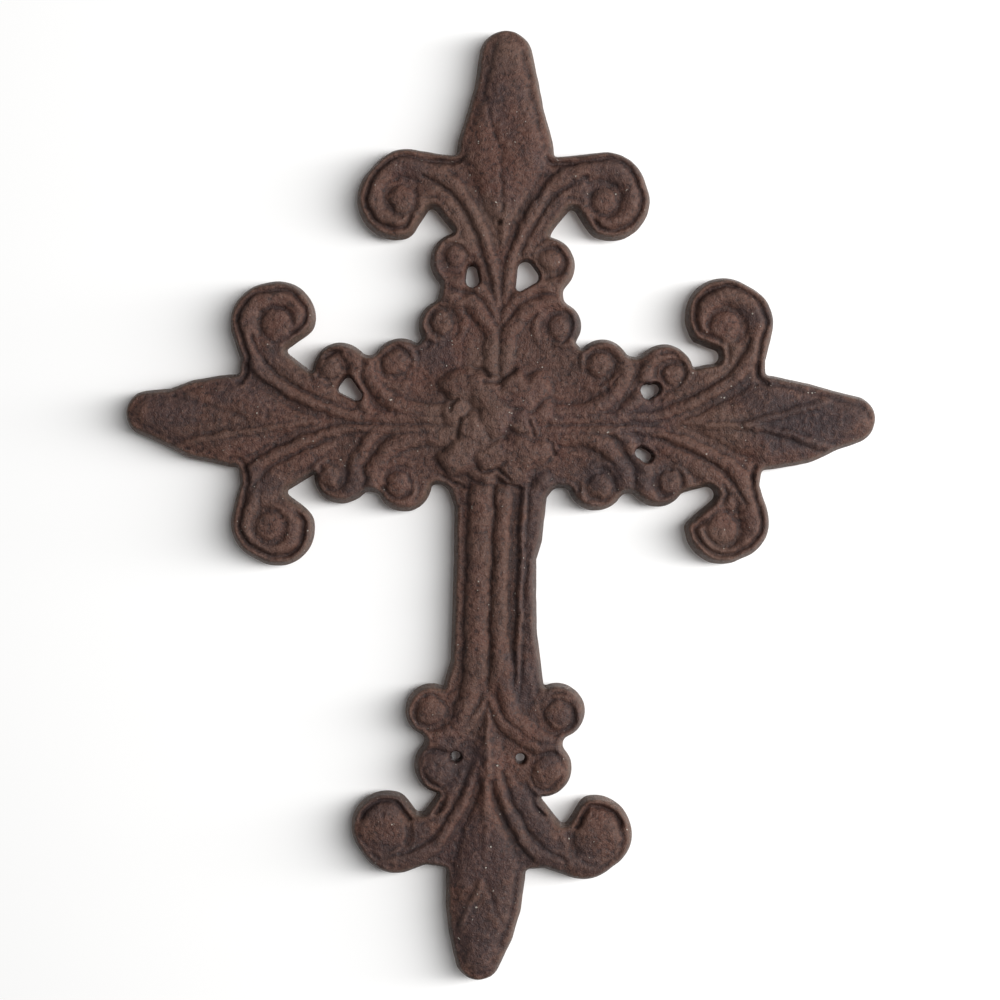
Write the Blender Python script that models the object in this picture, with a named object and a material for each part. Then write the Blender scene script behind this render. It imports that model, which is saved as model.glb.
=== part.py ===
"""A cast-iron wall cross with fleur-de-lis ends, modelled as the single casting it is.

The front is a height over the flat back, worked out from the distance to the outline and from ribs,
buttons, leaves and petals laid along each arm. The front faces -Y, the back lies in the plane y = 0
and rests on the wall, +Z is up, and the origin is on the back where the arms' middles meet.
"""

import math

import bmesh
import bpy
import numpy as np

# Sizes are in millimetres, and MM turns them into Blender's metres.
MM = 0.001

# How far each arm reaches, from the point where the arms' middles meet to its tip.
TOP_REACH = 126.7
LEFT_REACH = 118.5
RIGHT_REACH = 121.0
BOTTOM_REACH = 176.8

# The casting's section: a drafted wall from its flat back, and the ground that carries the relief.
WALL_TOP = 14.0
WALL_RUN = 2.4
GROUND_HEIGHT = 6.0
SHOULDER = 1.3
HOLE_RUN = 0.9
CORNER_FILLET = 1.4
SCROLL_FILLET = 0.7

# The crevice that follows the outline: how far in it lies, its depth and half-width.
CREVICE_INSET = 3.0
CREVICE_DEPTH = 2.0
CREVICE_HALF = 0.85

# The relief's sizes over its ground.
LEAF_RISE = 1.6
RIB_RISE = 1.55
BUTTON_RISE = 1.35
EYE_RISE = 1.3
SHAFT_RISE = 2.2
PETAL_RISE = 3.0
VEIN_DEPTH = 0.4
VEIN_HALF = 0.8
MARGIN_DEPTH = 1.1
MARGIN_HALF = 0.8
GROOVE_DEPTH = 0.9
GROOVE_HALF = 0.7
LEAF_GROOVE_DEPTH = 1.4
LEAF_GROOVE_HALF = 1.1
DOME_GROOVE_DEPTH = 1.5

# How the leaves and the curls' ribs keep clear of the outline.
RIM_BAND = 3.2
LEAF_MARGIN = 2.0
LEAF_SLOPE = 6.0
LEAF_HEEL = (2.0, 1.0)

# The ribs that wind round the curls and the small scrolls: half-widths at their start and end.
CURL_RIB = (3.2, 2.2)
CURL_RIB_INSET = 1.8
CURL_RIB_END = 1.6
CURL_RIB_SHARES = (1.0, 0.6)
SCROLL_RIB = (2.1, 1.4)

# The block of metal at the crossing, from the point where the arms' middles meet.
CROSSING_SIDE = 26.2
CROSSING_TOP = 27.8
CROSSING_BOTTOM = 18.8
CROSSING_CORNER = 3.0
WEB_INSET = 2.4
FORK_INSET = 1.5

# Each arm is set out from the crossing: first the distance along it, then the distance across it,
# with the clockwise side positive. Its heading is in degrees from the arm that points right. The distances
# along it are stretched later so that the leaf's tip comes at the arm's reach.
LAYOUT = {
    "top": {
        "reach": TOP_REACH,
        "heading": 90.0,
        "fluted_from": None,
        "rib_root": None,
        "leaf": ((88.0, 0.0, 15.6), (98.0, -0.1, 12.6), (106.0, 0.0, 10.6), (118.2, -0.7, 8.5)),
        "neck": ((16.0, 0.0, 17.0), (46.0, 0.0, 15.0), (62.0, 0.0, 15.0), (74.0, 0.0, 16.0)),
        "pad": ((57.0, 0.0, 2.6),),
        "veins": (((104.5, -6.5), (95.0, -4.6), (87.6, -1.7), (77.0, -0.9), (68.5, -0.8)),
                  ((106.0, 7.0), (99.5, 9.4), (92.0, 11.0)), ((121.0, -4.6), (112.0, -6.2), (103.0, -7.8)),
                  ((119.0, 4.4), (111.0, 6.4), (104.0, 7.6))),
        "margin": (),
        "ridges": (),
        -1: {
            "head": (71.5, 34.3, 12.7), "shoulder": (75.3, 31.0, 12.8), "elbow": (76.5, 21.0, 10.2),
            "bay": ((67.3, 22.8, 1.6), (55.5, 21.8, 8.6)),
            "eye": (71.3, 32.3), "dome": 4.4, "outer": (52.5, 13.5, 9.4), "inner": (32.0, 18.3, 7.8),
            "outer_button": (53.6, 14.9, 3.3), "inner_button": (32.4, 18.7, 3.8),
            "hole": ((49.5, 9.5, 1.6), (46.5, 9.3, 2.1)),
        },
        1: {
            "head": (73.0, 34.2, 12.4), "shoulder": (76.0, 32.6, 13.0), "elbow": (77.2, 21.0, 10.2),
            "bay": ((68.5, 21.8, 1.5), (57.0, 21.2, 8.0)),
            "eye": (72.7, 31.7), "dome": 4.4, "outer": (52.0, 14.0, 9.3), "inner": (32.8, 18.3, 7.8),
            "outer_button": (53.2, 15.3, 3.8), "inner_button": (32.0, 18.7, 4.0),
            "hole": ((50.6, 7.5, 2.4), (48.2, 9.6, 2.2), (45.0, 6.0, 1.3), (50.6, 7.5, 2.4)),
        },
    },
    "left": {
        "reach": LEFT_REACH,
        "heading": 180.0,
        "fluted_from": 12.0,
        "rib_root": 4.5,
        "leaf": ((84.0, -0.5, 14.9), (94.0, -0.5, 13.0), (102.0, -0.4, 9.8), (111.2, 0.9, 7.3)),
        "neck": ((16.0, 0.0, 16.5), (46.0, 0.0, 15.0), (60.0, 0.0, 15.5), (72.0, 0.0, 15.5)),
        "pad": ((56.0, 0.0, 2.6),),
        "veins": (((101.0, -7.0), (94.0, -5.2), (86.0, -3.0), (79.0, -0.8)),
                  ((103.0, 6.4), (95.0, 4.8), (87.0, 2.4), (79.0, 0.4))),
        "margin": (),
        "ridges": (((58.0, -0.6, 0.8, 0.3), (69.4, -2.4, 0.8, 0.4), (85.5, -5.2, 0.9, 0.45),
                    (101.0, -9.0, 0.8, 0.3)),),
        -1: {
            "head": (69.2, 34.6, 12.0), "shoulder": (72.1, 33.0, 12.1), "elbow": (71.2, 21.0, 10.2),
            "bay": ((65.0, 22.9, 1.2), (53.0, 23.2, 8.0)),
            "eye": (71.3, 34.0), "dome": 5.0, "outer": (49.0, 17.0, 9.0), "inner": (29.0, 19.2, 8.6),
            "outer_button": (52.7, 17.3, 3.7), "inner_button": (31.0, 19.2, 4.2),
            "hole": (),
        },
        1: {
            "head": (70.6, 32.8, 11.6), "shoulder": (73.6, 31.2, 12.6), "elbow": (72.4, 21.0, 10.2),
            "bay": ((66.4, 22.2, 1.2), (54.4, 22.2, 8.2)),
            "eye": (71.0, 30.3), "dome": 5.0, "outer": (50.5, 16.5, 9.0), "inner": (31.5, 19.0, 8.5),
            "outer_button": (53.7, 17.3, 4.0), "inner_button": (32.9, 19.2, 4.4),
            "hole": ((49.6, 10.6, 1.4), (48.0, 12.8, 1.5), (45.0, 8.6, 1.5), (49.6, 10.6, 1.4)),
        },
    },
    "bottom": {
        "reach": BOTTOM_REACH,
        "heading": 269.8,
        "fluted_from": None,
        "rib_root": 4.0,
        "leaf": ((141.5, -1.2, 12.8), (152.0, -0.8, 12.2), (160.0, -0.4, 10.6), (169.3, 0.3, 7.5)),
        "neck": ((84.0, -1.5, 15.4), (104.0, -1.5, 16.0), (118.0, -1.5, 15.5), (130.0, -1.5, 16.0)),
        "pad": ((89.0, 0.0, 2.2), (97.0, -0.4, 5.2), (106.0, -0.8, 7.6), (118.0, -1.0, 7.6)),
        "veins": (((163.0, -8.6), (156.7, -6.4), (150.7, -4.0), (144.5, -1.0)),),
        "margin": ((141.0, -11.5), (144.0, -11.2), (151.0, -10.6), (158.3, -9.0), (164.8, -6.8)),
        "ridges": (((92.0, -0.2, 0.9, 0.25), (106.0, -0.6, 1.1, 0.4), (122.0, -0.9, 1.4, 0.35),
                    (136.0, -1.0, 1.0, 0.25)),
                   ((158.5, 6.2, 0.8, 0.3), (151.6, 3.1, 0.9, 0.5), (144.8, -0.2, 0.9, 0.5))),
        -1: {
            "head": (128.7, 35.6, 12.0), "shoulder": (131.0, 31.8, 12.7), "elbow": (130.2, 21.0, 10.2),
            "bay": ((124.1, 25.4, 1.5), (113.0, 24.3, 8.2)),
            "eye": (129.3, 36.3), "dome": 7.8, "outer": (108.5, 18.5, 9.0), "inner": (90.0, 22.3, 8.9),
            "outer_button": (109.5, 20.5, 5.6), "inner_button": (91.0, 22.6, 4.6),
            "hole": ((105.3, 11.2, 1.2), (105.3, 10.8, 1.2)),
        },
        1: {
            "head": (128.8, 30.7, 11.5), "shoulder": (131.0, 27.8, 12.6), "elbow": (130.4, 19.0, 10.2),
            "bay": ((121.4, 20.4, 2.3), (112.5, 20.6, 7.6)),
            "eye": (129.3, 32.0), "dome": 7.8, "outer": (108.5, 13.5, 9.2), "inner": (91.0, 17.8, 8.4),
            "outer_button": (109.5, 16.0, 5.6), "inner_button": (91.0, 18.0, 4.8),
            "hole": ((105.3, 9.4, 1.2), (105.3, 9.8, 1.2)),
        },
    },
    "right": {
        "reach": RIGHT_REACH,
        "heading": 2.9,
        "fluted_from": 12.0,
        "rib_root": 4.3,
        "leaf": ((86.0, 0.4, 15.2), (96.0, 0.6, 13.2), (105.0, 0.2, 9.9), (113.4, 0.0, 7.6)),
        "neck": ((16.0, 0.0, 16.5), (46.0, 0.0, 15.5), (62.0, 0.0, 16.0), (74.0, 0.0, 16.0)),
        "pad": ((58.0, 0.0, 2.6),),
        "veins": (((106.0, 10.8), (98.7, 8.2), (91.7, 5.9), (84.5, 4.0)),),
        "margin": ((83.0, -13.0), (86.0, -12.5), (93.0, -11.0), (101.3, -8.6), (108.0, -6.8), (114.0, -5.3),
                   (117.2, -3.8), (118.6, -1.0)),
        "ridges": (((66.0, 1.2, 0.9, 0.4), (79.0, 1.2, 1.0, 0.6), (89.0, -1.4, 1.0, 0.7),
                    (97.1, -3.8, 1.0, 0.65), (105.7, -5.9, 0.9, 0.4)),
                   ((79.0, 1.2, 1.0, 0.6), (92.7, 4.4, 1.0, 0.75), (99.5, 6.8, 1.0, 0.7),
                    (106.4, 9.3, 0.9, 0.5))),
        -1: {
            "head": (73.2, 33.7, 12.5), "shoulder": (76.0, 31.5, 13.1), "elbow": (76.2, 21.0, 10.2),
            "bay": ((69.0, 21.0, 2.2), (57.4, 22.4, 5.6)),
            "eye": (73.0, 30.3), "dome": 5.0, "outer": (53.6, 15.8, 9.5), "inner": (34.0, 19.0, 8.5),
            "outer_button": (56.0, 15.4, 3.6), "inner_button": (32.9, 18.7, 4.2),
            "hole": ((50.3, 11.0, 1.7), (48.3, 9.8, 1.7), (48.0, 10.8, 1.8)),
        },
        1: {
            "head": (71.2, 33.3, 12.0), "shoulder": (73.8, 31.6, 12.6), "elbow": (73.0, 21.0, 10.2),
            "bay": ((66.4, 23.0, 2.5), (56.0, 28.2, 5.0)),
            "eye": (70.7, 34.0), "dome": 5.0, "outer": (51.0, 17.3, 9.2), "inner": (31.3, 18.5, 8.9),
            "outer_button": (54.6, 18.7, 3.8), "inner_button": (32.4, 19.7, 4.4),
            "hole": ((47.4, 10.4, 1.7), (45.6, 9.2, 1.6)),
        },
    },
}

# Rows that every arm's ornament follows: distance along the arm and across it, half-width, and share of the
# full rise. The large curls' rows are laid from the eye, and the small scrolls' from the scroll's base.
STEM = ((-33.0, 1.2, 0.9, 0.35), (-26.0, 2.0, 1.2, 0.55), (-20.0, 3.1, 1.5, 0.7), (-14.0, 4.8, 1.8, 0.9),
        (-7.0, 8.0, 2.2, 1.0), (-1.0, 11.2, 2.5, 1.0), (5.0, 15.6, 2.7, 1.0))
STRIP = ((-19.0, 7.0, 1.2, 0.25), (-13.0, 10.0, 2.4, 0.5), (-7.0, 13.4, 3.0, 0.55), (-1.5, 18.0, 3.4, 0.55),
         (2.0, 24.0, 3.6, 0.5))
STRIP_GROOVE = ((-20.0, 5.2), (-11.0, 8.6), (-6.0, 11.2), (-1.0, 14.2), (2.8, 17.6), (5.4, 21.5), (7.6, 26.0))
LEAF_GROOVE = ((-16.0, 1.8), (-10.0, 3.6), (-5.0, 6.0), (1.0, 9.4), (7.0, 13.6), (11.5, 18.0))
INNER_RIB = ((17.0, 2.4, 1.7, 0.5), (24.0, 2.4, 1.9, 0.7), (29.5, 2.8, 2.1, 0.85), (34.2, 5.6, 2.2, 0.95),
             (38.4, 9.6, 2.2, 1.0))
OUTER_RIB = ((33.0, 0.6, 0.9, 0.3), (38.0, 2.8, 1.3, 0.6), (41.6, 6.0, 1.7, 0.8))
INNER_TRACE = (7.6, 6.6)
INNER_TRACE_TURN = (-120.0, 0.0)
INNER_TRACE_RIB = (1.0, 1.3)
SCROLL_BASE = 32.0
INNER_TURN = (-42.0, 185.0)
OUTER_TURN = (208.0, -70.0)

# The crevice's run round a curl's eye: 0 points along the arm, 90 away from its middle.
CREVICE_TURN = (-95.0, 225.0)
DOME_ARC_TURN = (100.0, 290.0)
CREVICE_SEAM = 110.0
CREVICE_FAINT = 0.12
FLUTE = 1.9
FLUTE_END = 30.0
WIDE_DOME = 6.0
RIB_CREST = 0.8
RIB_SPREAD = 1.3

# The shaft below the crossing, between its worn edges: distance along it, then half-width on each side.
SHAFT_LEFT_OF_VIEW = ((16.0, 19.0), (21.0, 14.6), (26.0, 12.7), (60.0, 12.2), (75.0, 12.2), (84.0, 14.0))
SHAFT_RIGHT_OF_VIEW = ((16.0, 21.0), (22.0, 16.6), (36.0, 15.6), (42.0, 13.9), (50.0, 14.4), (66.0, 15.1),
                       (76.0, 16.6), (84.0, 18.0))


def blend_min(a, b, radius):
    """The nearer of two forms, with a fillet of this radius where they meet."""
    share = np.clip(0.5 + 0.5 * (b - a) / radius, 0.0, 1.0)
    return b + (a - b) * share - radius * share * (1.0 - share)


def blend_max(a, b, radius):
    return -blend_min(-a, -b, radius)


def smooth_step(value, start, end):
    t = np.clip((value - start) / (end - start), 0.0, 1.0)
    return t * t * (3.0 - 2.0 * t)


def along_segment(u, v, start, end):
    """How far along a segment the nearest point lies, as a share, and the distance to it."""
    du, dv = end[0] - start[0], end[1] - start[1]
    share = np.clip(((u - start[0]) * du + (v - start[1]) * dv) / max(du * du + dv * dv, 1e-9), 0.0, 1.0)
    return share, np.hypot(u - start[0] - share * du, v - start[1] - share * dv)


def chain(u, v, balls):
    """Distance to the discs (along, across, radius) with straight sides drawn from each to the next."""
    result = np.full(np.shape(u), 1e3)
    for start, end in zip(balls, balls[1:]):
        length = max(math.hypot(end[0] - start[0], end[1] - start[1]), 1e-6)
        along = ((u - start[0]) * (end[0] - start[0]) + (v - start[1]) * (end[1] - start[1])) / length
        across = ((v - start[1]) * (end[0] - start[0]) - (u - start[0]) * (end[1] - start[1])) / length
        taper = (end[2] - start[2]) / length
        lean = taper / math.sqrt(max(1.0 - taper**2, 0.05))
        foot = np.clip(along + np.abs(across) * lean, 0.0, length)
        result = np.minimum(result, np.hypot(along - foot, across) - start[2] - foot * taper)
    return result


def disc(u, v, centre):
    return np.hypot(u - centre[0], v - centre[1]) - centre[2]


def stretch_of(parts):
    """How much longer than its layout an arm is, with its leaf's round tip kept."""
    along, _, radius = parts["leaf"][-1]
    return (parts["reach"] - radius) / along


def stretched(value, factor):
    """A row, or rows of any depth, with the distance along the arm multiplied."""
    if isinstance(value, dict):
        return {key: stretched(item, factor) for key, item in value.items()}
    if not isinstance(value, tuple) or not value:
        return value
    if isinstance(value[0], tuple):
        return tuple(stretched(row, factor) for row in value)
    return (value[0] * factor, *value[1:])


ARMS = {arm: stretched(parts, stretch_of(parts)) for arm, parts in LAYOUT.items()}
SHAFT_EDGES = stretched((SHAFT_LEFT_OF_VIEW, SHAFT_RIGHT_OF_VIEW), stretch_of(LAYOUT["bottom"]))


def arm_frame(x, y, arm):
    """Distance along an arm, and across it to its clockwise side."""
    angle = math.radians(ARMS[arm]["heading"])
    along, up = math.cos(angle), math.sin(angle)
    return x * along + y * up, x * up - y * along


def arm_outline(u, v, arm):
    parts = ARMS[arm]
    result = chain(u, v, parts["leaf"])
    result = blend_min(result, chain(u, v, parts["neck"]), CORNER_FILLET)
    root = parts["neck"][-1]
    for side in (-1, 1):
        w = v * side
        half = parts[side]
        head, shoulder = half["head"], half["shoulder"]
        stem = (root[0] + 0.5, 6.0, root[2] - 4.5)
        outer = half["outer"]
        fork = (outer[0], outer[1] - FORK_INSET, outer[2] - FORK_INSET)
        curl = chain(u, w, (head, shoulder, half["elbow"], stem))
        curl = np.minimum(curl, chain(u, w, (half["elbow"], fork)))
        curl = blend_max(curl, -chain(u, w, half["bay"]), CORNER_FILLET)
        result = blend_min(result, curl, CORNER_FILLET)
        for name in ("outer", "inner"):
            result = blend_min(result, disc(u, w, half[name]), SCROLL_FILLET)
        web = [(c[0], c[1] - WEB_INSET, c[2] - WEB_INSET) for c in (half["outer"], half["inner"])]
        result = blend_min(result, chain(u, w, web), CORNER_FILLET)
    return result


def shaft_outline(u, v):
    clockwise, counter = (np.interp(u, *np.array(edge).T) for edge in SHAFT_EDGES)
    across = np.maximum(v - clockwise, -v - counter)
    start, end = SHAFT_EDGES[0][0][0], SHAFT_EDGES[0][-1][0]
    ends = np.maximum(start - u, u - end)
    return np.maximum(across, ends)


def crossing_outline(x, y):
    middle = 0.5 * (CROSSING_TOP - CROSSING_BOTTOM)
    qx = np.abs(x) - CROSSING_SIDE + CROSSING_CORNER
    qy = np.abs(y - middle) - 0.5 * (CROSSING_TOP + CROSSING_BOTTOM) + CROSSING_CORNER
    outside = np.hypot(np.maximum(qx, 0.0), np.maximum(qy, 0.0))
    return outside + np.minimum(np.maximum(qx, qy), 0.0) - CROSSING_CORNER


def outline(x, y):
    """Distance to the cross's outline seen from the front, negative on metal."""
    result = crossing_outline(x, y)
    for arm in ARMS:
        u, v = arm_frame(x, y, arm)
        result = blend_min(result, arm_outline(u, v, arm), CORNER_FILLET)
    u, v = arm_frame(x, y, "bottom")
    result = blend_min(result, shaft_outline(u, v), CORNER_FILLET)
    return result


def hole_outline(x, y):
    """Distance to the openwork's holes, negative inside one."""
    result = np.full(x.shape, 1e3)
    for arm, parts in ARMS.items():
        u, v = arm_frame(x, y, arm)
        for side in (-1, 1):
            if parts[side]["hole"]:
                result = np.minimum(result, chain(u, v * side, parts[side]["hole"]))
    return result


def smooth_path(points, steps=6):
    """A smooth curve through the points, each with its half-width and rise as further columns."""
    knots = np.array([points[0], *points, points[-1]], float)
    rows = []
    for a, b, c, d in zip(knots, knots[1:], knots[2:], knots[3:]):
        for t in np.arange(steps) / steps:
            rows.append(0.5 * (2 * b + (c - a) * t + (2 * a - 5 * b + 4 * c - d) * t**2
                               + (3 * b - a - 3 * c + d) * t**3))
    rows.append(knots[-1])
    return rows


def spiral(centre, radii, angles, half_widths, rises, steps=14):
    """A winding run of points about a centre; an angle of 0 points along the arm, 90 away from its middle."""
    rows = []
    for t in np.linspace(0.0, 1.0, steps):
        angle = math.radians(angles[0] + t * (angles[1] - angles[0]))
        radius = radii[0] + t * (radii[1] - radii[0])
        rows.append((centre[0] + radius * math.cos(angle), centre[1] + radius * math.sin(angle),
                     half_widths[0] + t * (half_widths[1] - half_widths[0]),
                     rises[0] + t * (rises[1] - rises[0])))
    return rows


def raise_rib(height, u, v, rows):
    """Lift the surface to a rounded rib along the rows of (along, across, half-width, share of rise)."""
    rows = np.array(rows, float)
    margin = RIB_SPREAD * rows[:, 2].max()
    near = ((u > rows[:, 0].min() - margin) & (u < rows[:, 0].max() + margin)
            & (v > rows[:, 1].min() - margin) & (v < rows[:, 1].max() + margin))
    un, vn = u[near], v[near]
    best = np.zeros(un.shape)
    for start, end in zip(rows, rows[1:]):
        share, distance = along_segment(un, vn, start, end)
        half = RIB_SPREAD * (start[2] + share * (end[2] - start[2]))
        rise = start[3] + share * (end[3] - start[3])
        across = np.clip(1.0 - (distance / half) ** 2, 0.0, 1.0)
        best = np.maximum(best, RIB_RISE * rise * across**RIB_CREST)
    height[near] = np.maximum(height[near], best)


def cut_groove(height, u, v, points, half_width, depth):
    points = np.array(points, float)
    margin = 3.0 * half_width
    near = ((u > points[:, 0].min() - margin) & (u < points[:, 0].max() + margin)
            & (v > points[:, 1].min() - margin) & (v < points[:, 1].max() + margin))
    un, vn = u[near], v[near]
    nearest = np.full(un.shape, 1e3)
    for start, end in zip(points, points[1:]):
        nearest = np.minimum(nearest, along_segment(un, vn, start, end)[1])
    height[near] -= depth * np.exp(-((nearest / half_width) ** 2))


def raise_button(height, u, v, button, rise, groove):
    """A flat-topped dome, given as (along, across, radius), with a groove round its foot."""
    radius = button[2]
    distance = np.hypot(u - button[0], v - button[1])
    near = distance < radius * 2.2
    dn = distance[near]
    dome = rise * np.clip(1.0 - (dn / radius) ** 3, 0.0, 1.0) ** 0.7
    height[near] = np.maximum(height[near], dome)
    height[near] -= groove * np.exp(-(((dn - radius * 1.12) / VEIN_HALF) ** 2))


def shifted(rows, along):
    """The same rows, moved along the arm."""
    return [(row[0] + along, *row[1:]) for row in rows]


def curl_relief(height, u, w, half, fluted_from):
    """One large curl: a stem that winds from the arm's middle round its eye, and the strip inside it."""
    eye, dome = half["eye"], half["dome"]
    wide = dome > WIDE_DOME
    reach = half["shoulder"][0] + half["shoulder"][2] - eye[0] - RIM_BAND
    turns = (-18.0, 60.0) if wide else (-18.0, 262.0)
    wind = spiral(eye, (reach - CURL_RIB_INSET, dome + CURL_RIB_END), turns, CURL_RIB, CURL_RIB_SHARES, 20)
    stem = shifted(STEM, eye[0])
    if fluted_from:
        stem = [(fluted_from, FLUTE, 1.7, 0.8), (FLUTE_END, FLUTE, 1.5, 0.7)] + stem[1:]
    elif wide:
        stem = stem[2:]
    raise_rib(height, u, w, smooth_path(stem + wind[:3]) + wind[3:])
    raise_rib(height, u, w, smooth_path(shifted(STRIP, eye[0])))
    raise_button(height, u, w, (*eye, dome), EYE_RISE, 0.6 * GROOVE_DEPTH)
    if wide:
        arc = spiral(eye, (dome + 1.0, dome + 0.6), DOME_ARC_TURN, (1.0, 1.0), (1.0, 1.0))
        arc = [row[:2] for row in arc]
        cut_groove(height, u, w, arc, CREVICE_HALF, DOME_GROOVE_DEPTH)
    cut_groove(height, u, w, smooth_path(shifted(STRIP_GROOVE, eye[0])), GROOVE_HALF, GROOVE_DEPTH)
    cut_groove(height, u, w, smooth_path(shifted(LEAF_GROOVE, eye[0])), LEAF_GROOVE_HALF, LEAF_GROOVE_DEPTH)


def inner_rib(base, button, fluted_from, rib_root):
    """The rib of an inner scroll from the arm's middle to where it starts to wind."""
    if fluted_from:
        return [(fluted_from, rib_root, 2.0, 0.8), (base + 22.0, rib_root - 0.2, 2.1, 0.85),
                (base + 29.0, rib_root + 0.6, 2.2, 0.95), (base + 34.5, rib_root + 3.2, 2.2, 1.0)]
    if rib_root:
        return [(base + 10.0, rib_root, 2.9, 1.1), (base + 22.0, rib_root + 1.0, 2.8, 1.1),
                (base + 31.5, 7.4, 2.5, 1.1), (base + 37.8, button[1] - 8.6, 2.3, 1.0)]
    return shifted(INNER_RIB, base)


def scroll_relief(height, u, w, half, fluted_from, rib_root):
    """A pair of small scrolls, each a rib that bends out from the arm's middle and winds round a button."""
    button = half["inner_button"]
    base = button[0] - SCROLL_BASE
    rib = inner_rib(base, button, fluted_from, rib_root)
    wind = spiral(button, (9.2, button[2] + 0.4), INNER_TURN, SCROLL_RIB, (1.0, 0.7), 16)
    raise_rib(height, u, w, smooth_path(rib + wind[:2]) + wind[2:])
    raise_button(height, u, w, button, BUTTON_RISE, GROOVE_DEPTH)
    if half["dome"] < WIDE_DOME:
        raise_rib(height, u, w, spiral(button, INNER_TRACE, INNER_TRACE_TURN, INNER_TRACE_RIB, (0.3, 0.6)))
    button = half["outer_button"]
    start = base if half["dome"] < WIDE_DOME else base - 6.0
    wind = spiral(button, (9.0, button[2] + 0.4), OUTER_TURN, SCROLL_RIB, (0.9, 0.7), 16)
    raise_rib(height, u, w, smooth_path(shifted(OUTER_RIB, start) + wind[:2]) + wind[2:])
    raise_button(height, u, w, button, BUTTON_RISE, GROOVE_DEPTH)


def crevice_share(x, y):
    """How strongly the crevice shows: round the outer side of the large curls, and faintly elsewhere."""
    total = np.full(x.shape, CREVICE_FAINT)
    for arm, parts in ARMS.items():
        u, v = arm_frame(x, y, arm)
        for side in (-1, 1):
            eye = parts[side]["eye"]
            du, dw = u - eye[0], v * side - eye[1]
            turn = (np.degrees(np.arctan2(dw, du)) + CREVICE_SEAM) % 360.0 - CREVICE_SEAM
            start, end = DOME_ARC_TURN if parts[side]["dome"] > WIDE_DOME else CREVICE_TURN
            window = smooth_step(turn, start, start + 25.0) * (1.0 - smooth_step(turn, end - 30.0, end))
            window *= 1.0 - smooth_step(np.hypot(du, dw), 19.0, 25.0)
            total = np.maximum(total, window)
    return total


def leaf_relief(height, u, v, parts):
    """The leaf's blade: a low pad that rises from its margin, and draws to a point between the stems."""
    base = parts["leaf"][0]
    heel = (base[0] - LEAF_HEEL[0], base[1], base[2] - LEAF_HEEL[1])
    body = chain(u, v, (*parts["pad"], heel, *parts["leaf"]))
    share = np.clip((-body - LEAF_MARGIN) / LEAF_SLOPE, 0.0, 1.0)
    pad = LEAF_RISE * (1.0 - (1.0 - share) ** 2)
    for ridge in parts["ridges"]:
        line = np.zeros(u.shape)
        raise_rib(line, u, v, ridge)
        pad = pad + line
    height[:] = np.maximum(height, pad)


def relief(x, y):
    """Rise of the carving over the ground."""
    total = np.zeros(x.shape)
    for arm, parts in ARMS.items():
        u, v = arm_frame(x, y, arm)
        height = np.zeros(x.shape)
        leaf_relief(height, u, v, parts)
        for side in (-1, 1):
            curl_relief(height, u, v * side, parts[side], parts["fluted_from"])
            scroll_relief(height, u, v * side, parts[side], parts["fluted_from"], parts["rib_root"])
        for vein in parts["veins"]:
            cut_groove(height, u, v, vein, VEIN_HALF, VEIN_DEPTH)
        if parts["margin"]:
            cut_groove(height, u, v, smooth_path(parts["margin"]), MARGIN_HALF, MARGIN_DEPTH)
        total = np.where(np.abs(height) > np.abs(total), height, total)
    u, v = arm_frame(x, y, "bottom")
    shaft = shaft_relief(u, v)
    total = np.where(np.abs(shaft) > np.abs(total), shaft, total)
    total = np.maximum(total, rosette(x, y))
    for crevice in ROSETTE_CREVICES:
        cut_groove(total, x, y, crevice, ROSETTE_CREVICE_HALF, ROSETTE_CREVICE_DEPTH)
    return total


# The shaft's ridges: distance across it, half-width, and share of the full rise. Its grooves: distance across
# it, half-width, and depth.
SHAFT_RIDGES = ((-12.6, 2.3, 0.45), (-9.2, 1.1, 0.75), (-2.8, 2.8, 1.0), (4.2, 4.0, 1.0))
SHAFT_GROOVES = ((-7.1, 1.3, 1.0, 84.0), (9.9, 1.1, 0.8, 60.0))
GROOVE_FADE = 14.0


def shaft_relief(u, v):
    height = np.zeros(u.shape)
    for middle, half, rise in SHAFT_RIDGES:
        crest = np.clip(1.0 - ((v - middle) / half) ** 2, 0.0, 1.0) ** 0.5
        height = np.maximum(height, SHAFT_RISE * rise * crest)
    for middle, half, depth, until in SHAFT_GROOVES:
        fade = 1.0 - smooth_step(u, until - GROOVE_FADE, until)
        height -= depth * fade * np.exp(-(((v - middle) / half) ** 2))
    start, end = SHAFT_EDGES[0][0][0], SHAFT_EDGES[0][-1][0]
    return height * smooth_step(u, start + 1.0, start + 4.0) * (1.0 - smooth_step(u, end - 8.0, end + 4.0))


# The rosette's petals and folds, blurred by wear: place across and up, radius, and share of the full rise.
PETALS = (
    (-12.0, 12.6, 5.8, 0.72), (-3.6, 10.4, 6.6, 0.90), (6.0, 10.4, 6.8, 0.86), (12.6, 13.0, 5.0, 0.55),
    (-13.6, 4.6, 5.0, 0.66), (-8.0, -1.6, 5.8, 0.86), (0.2, 2.4, 6.2, 1.00), (9.0, 1.8, 5.8, 0.82),
    (14.2, 4.4, 4.6, 0.58), (-11.2, -9.6, 6.4, 0.78), (-1.6, -9.0, 6.2, 0.94), (7.4, -8.6, 6.8, 0.88),
    (13.4, -6.8, 5.0, 0.62), (-4.4, -15.2, 4.2, 0.68), (5.0, -14.8, 4.8, 0.68), (14.0, -17.0, 3.4, 0.40),
)
BODY_SHARE = 0.7
BODY_REACH = 1.12
BODY_RUN = 4.4
PETAL_MERGE = 4.0
PETAL_TILT = 0.30
TILT_STEP = 2.4
WAVE = 0.7
WAVE_LENGTH = 13.0

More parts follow.
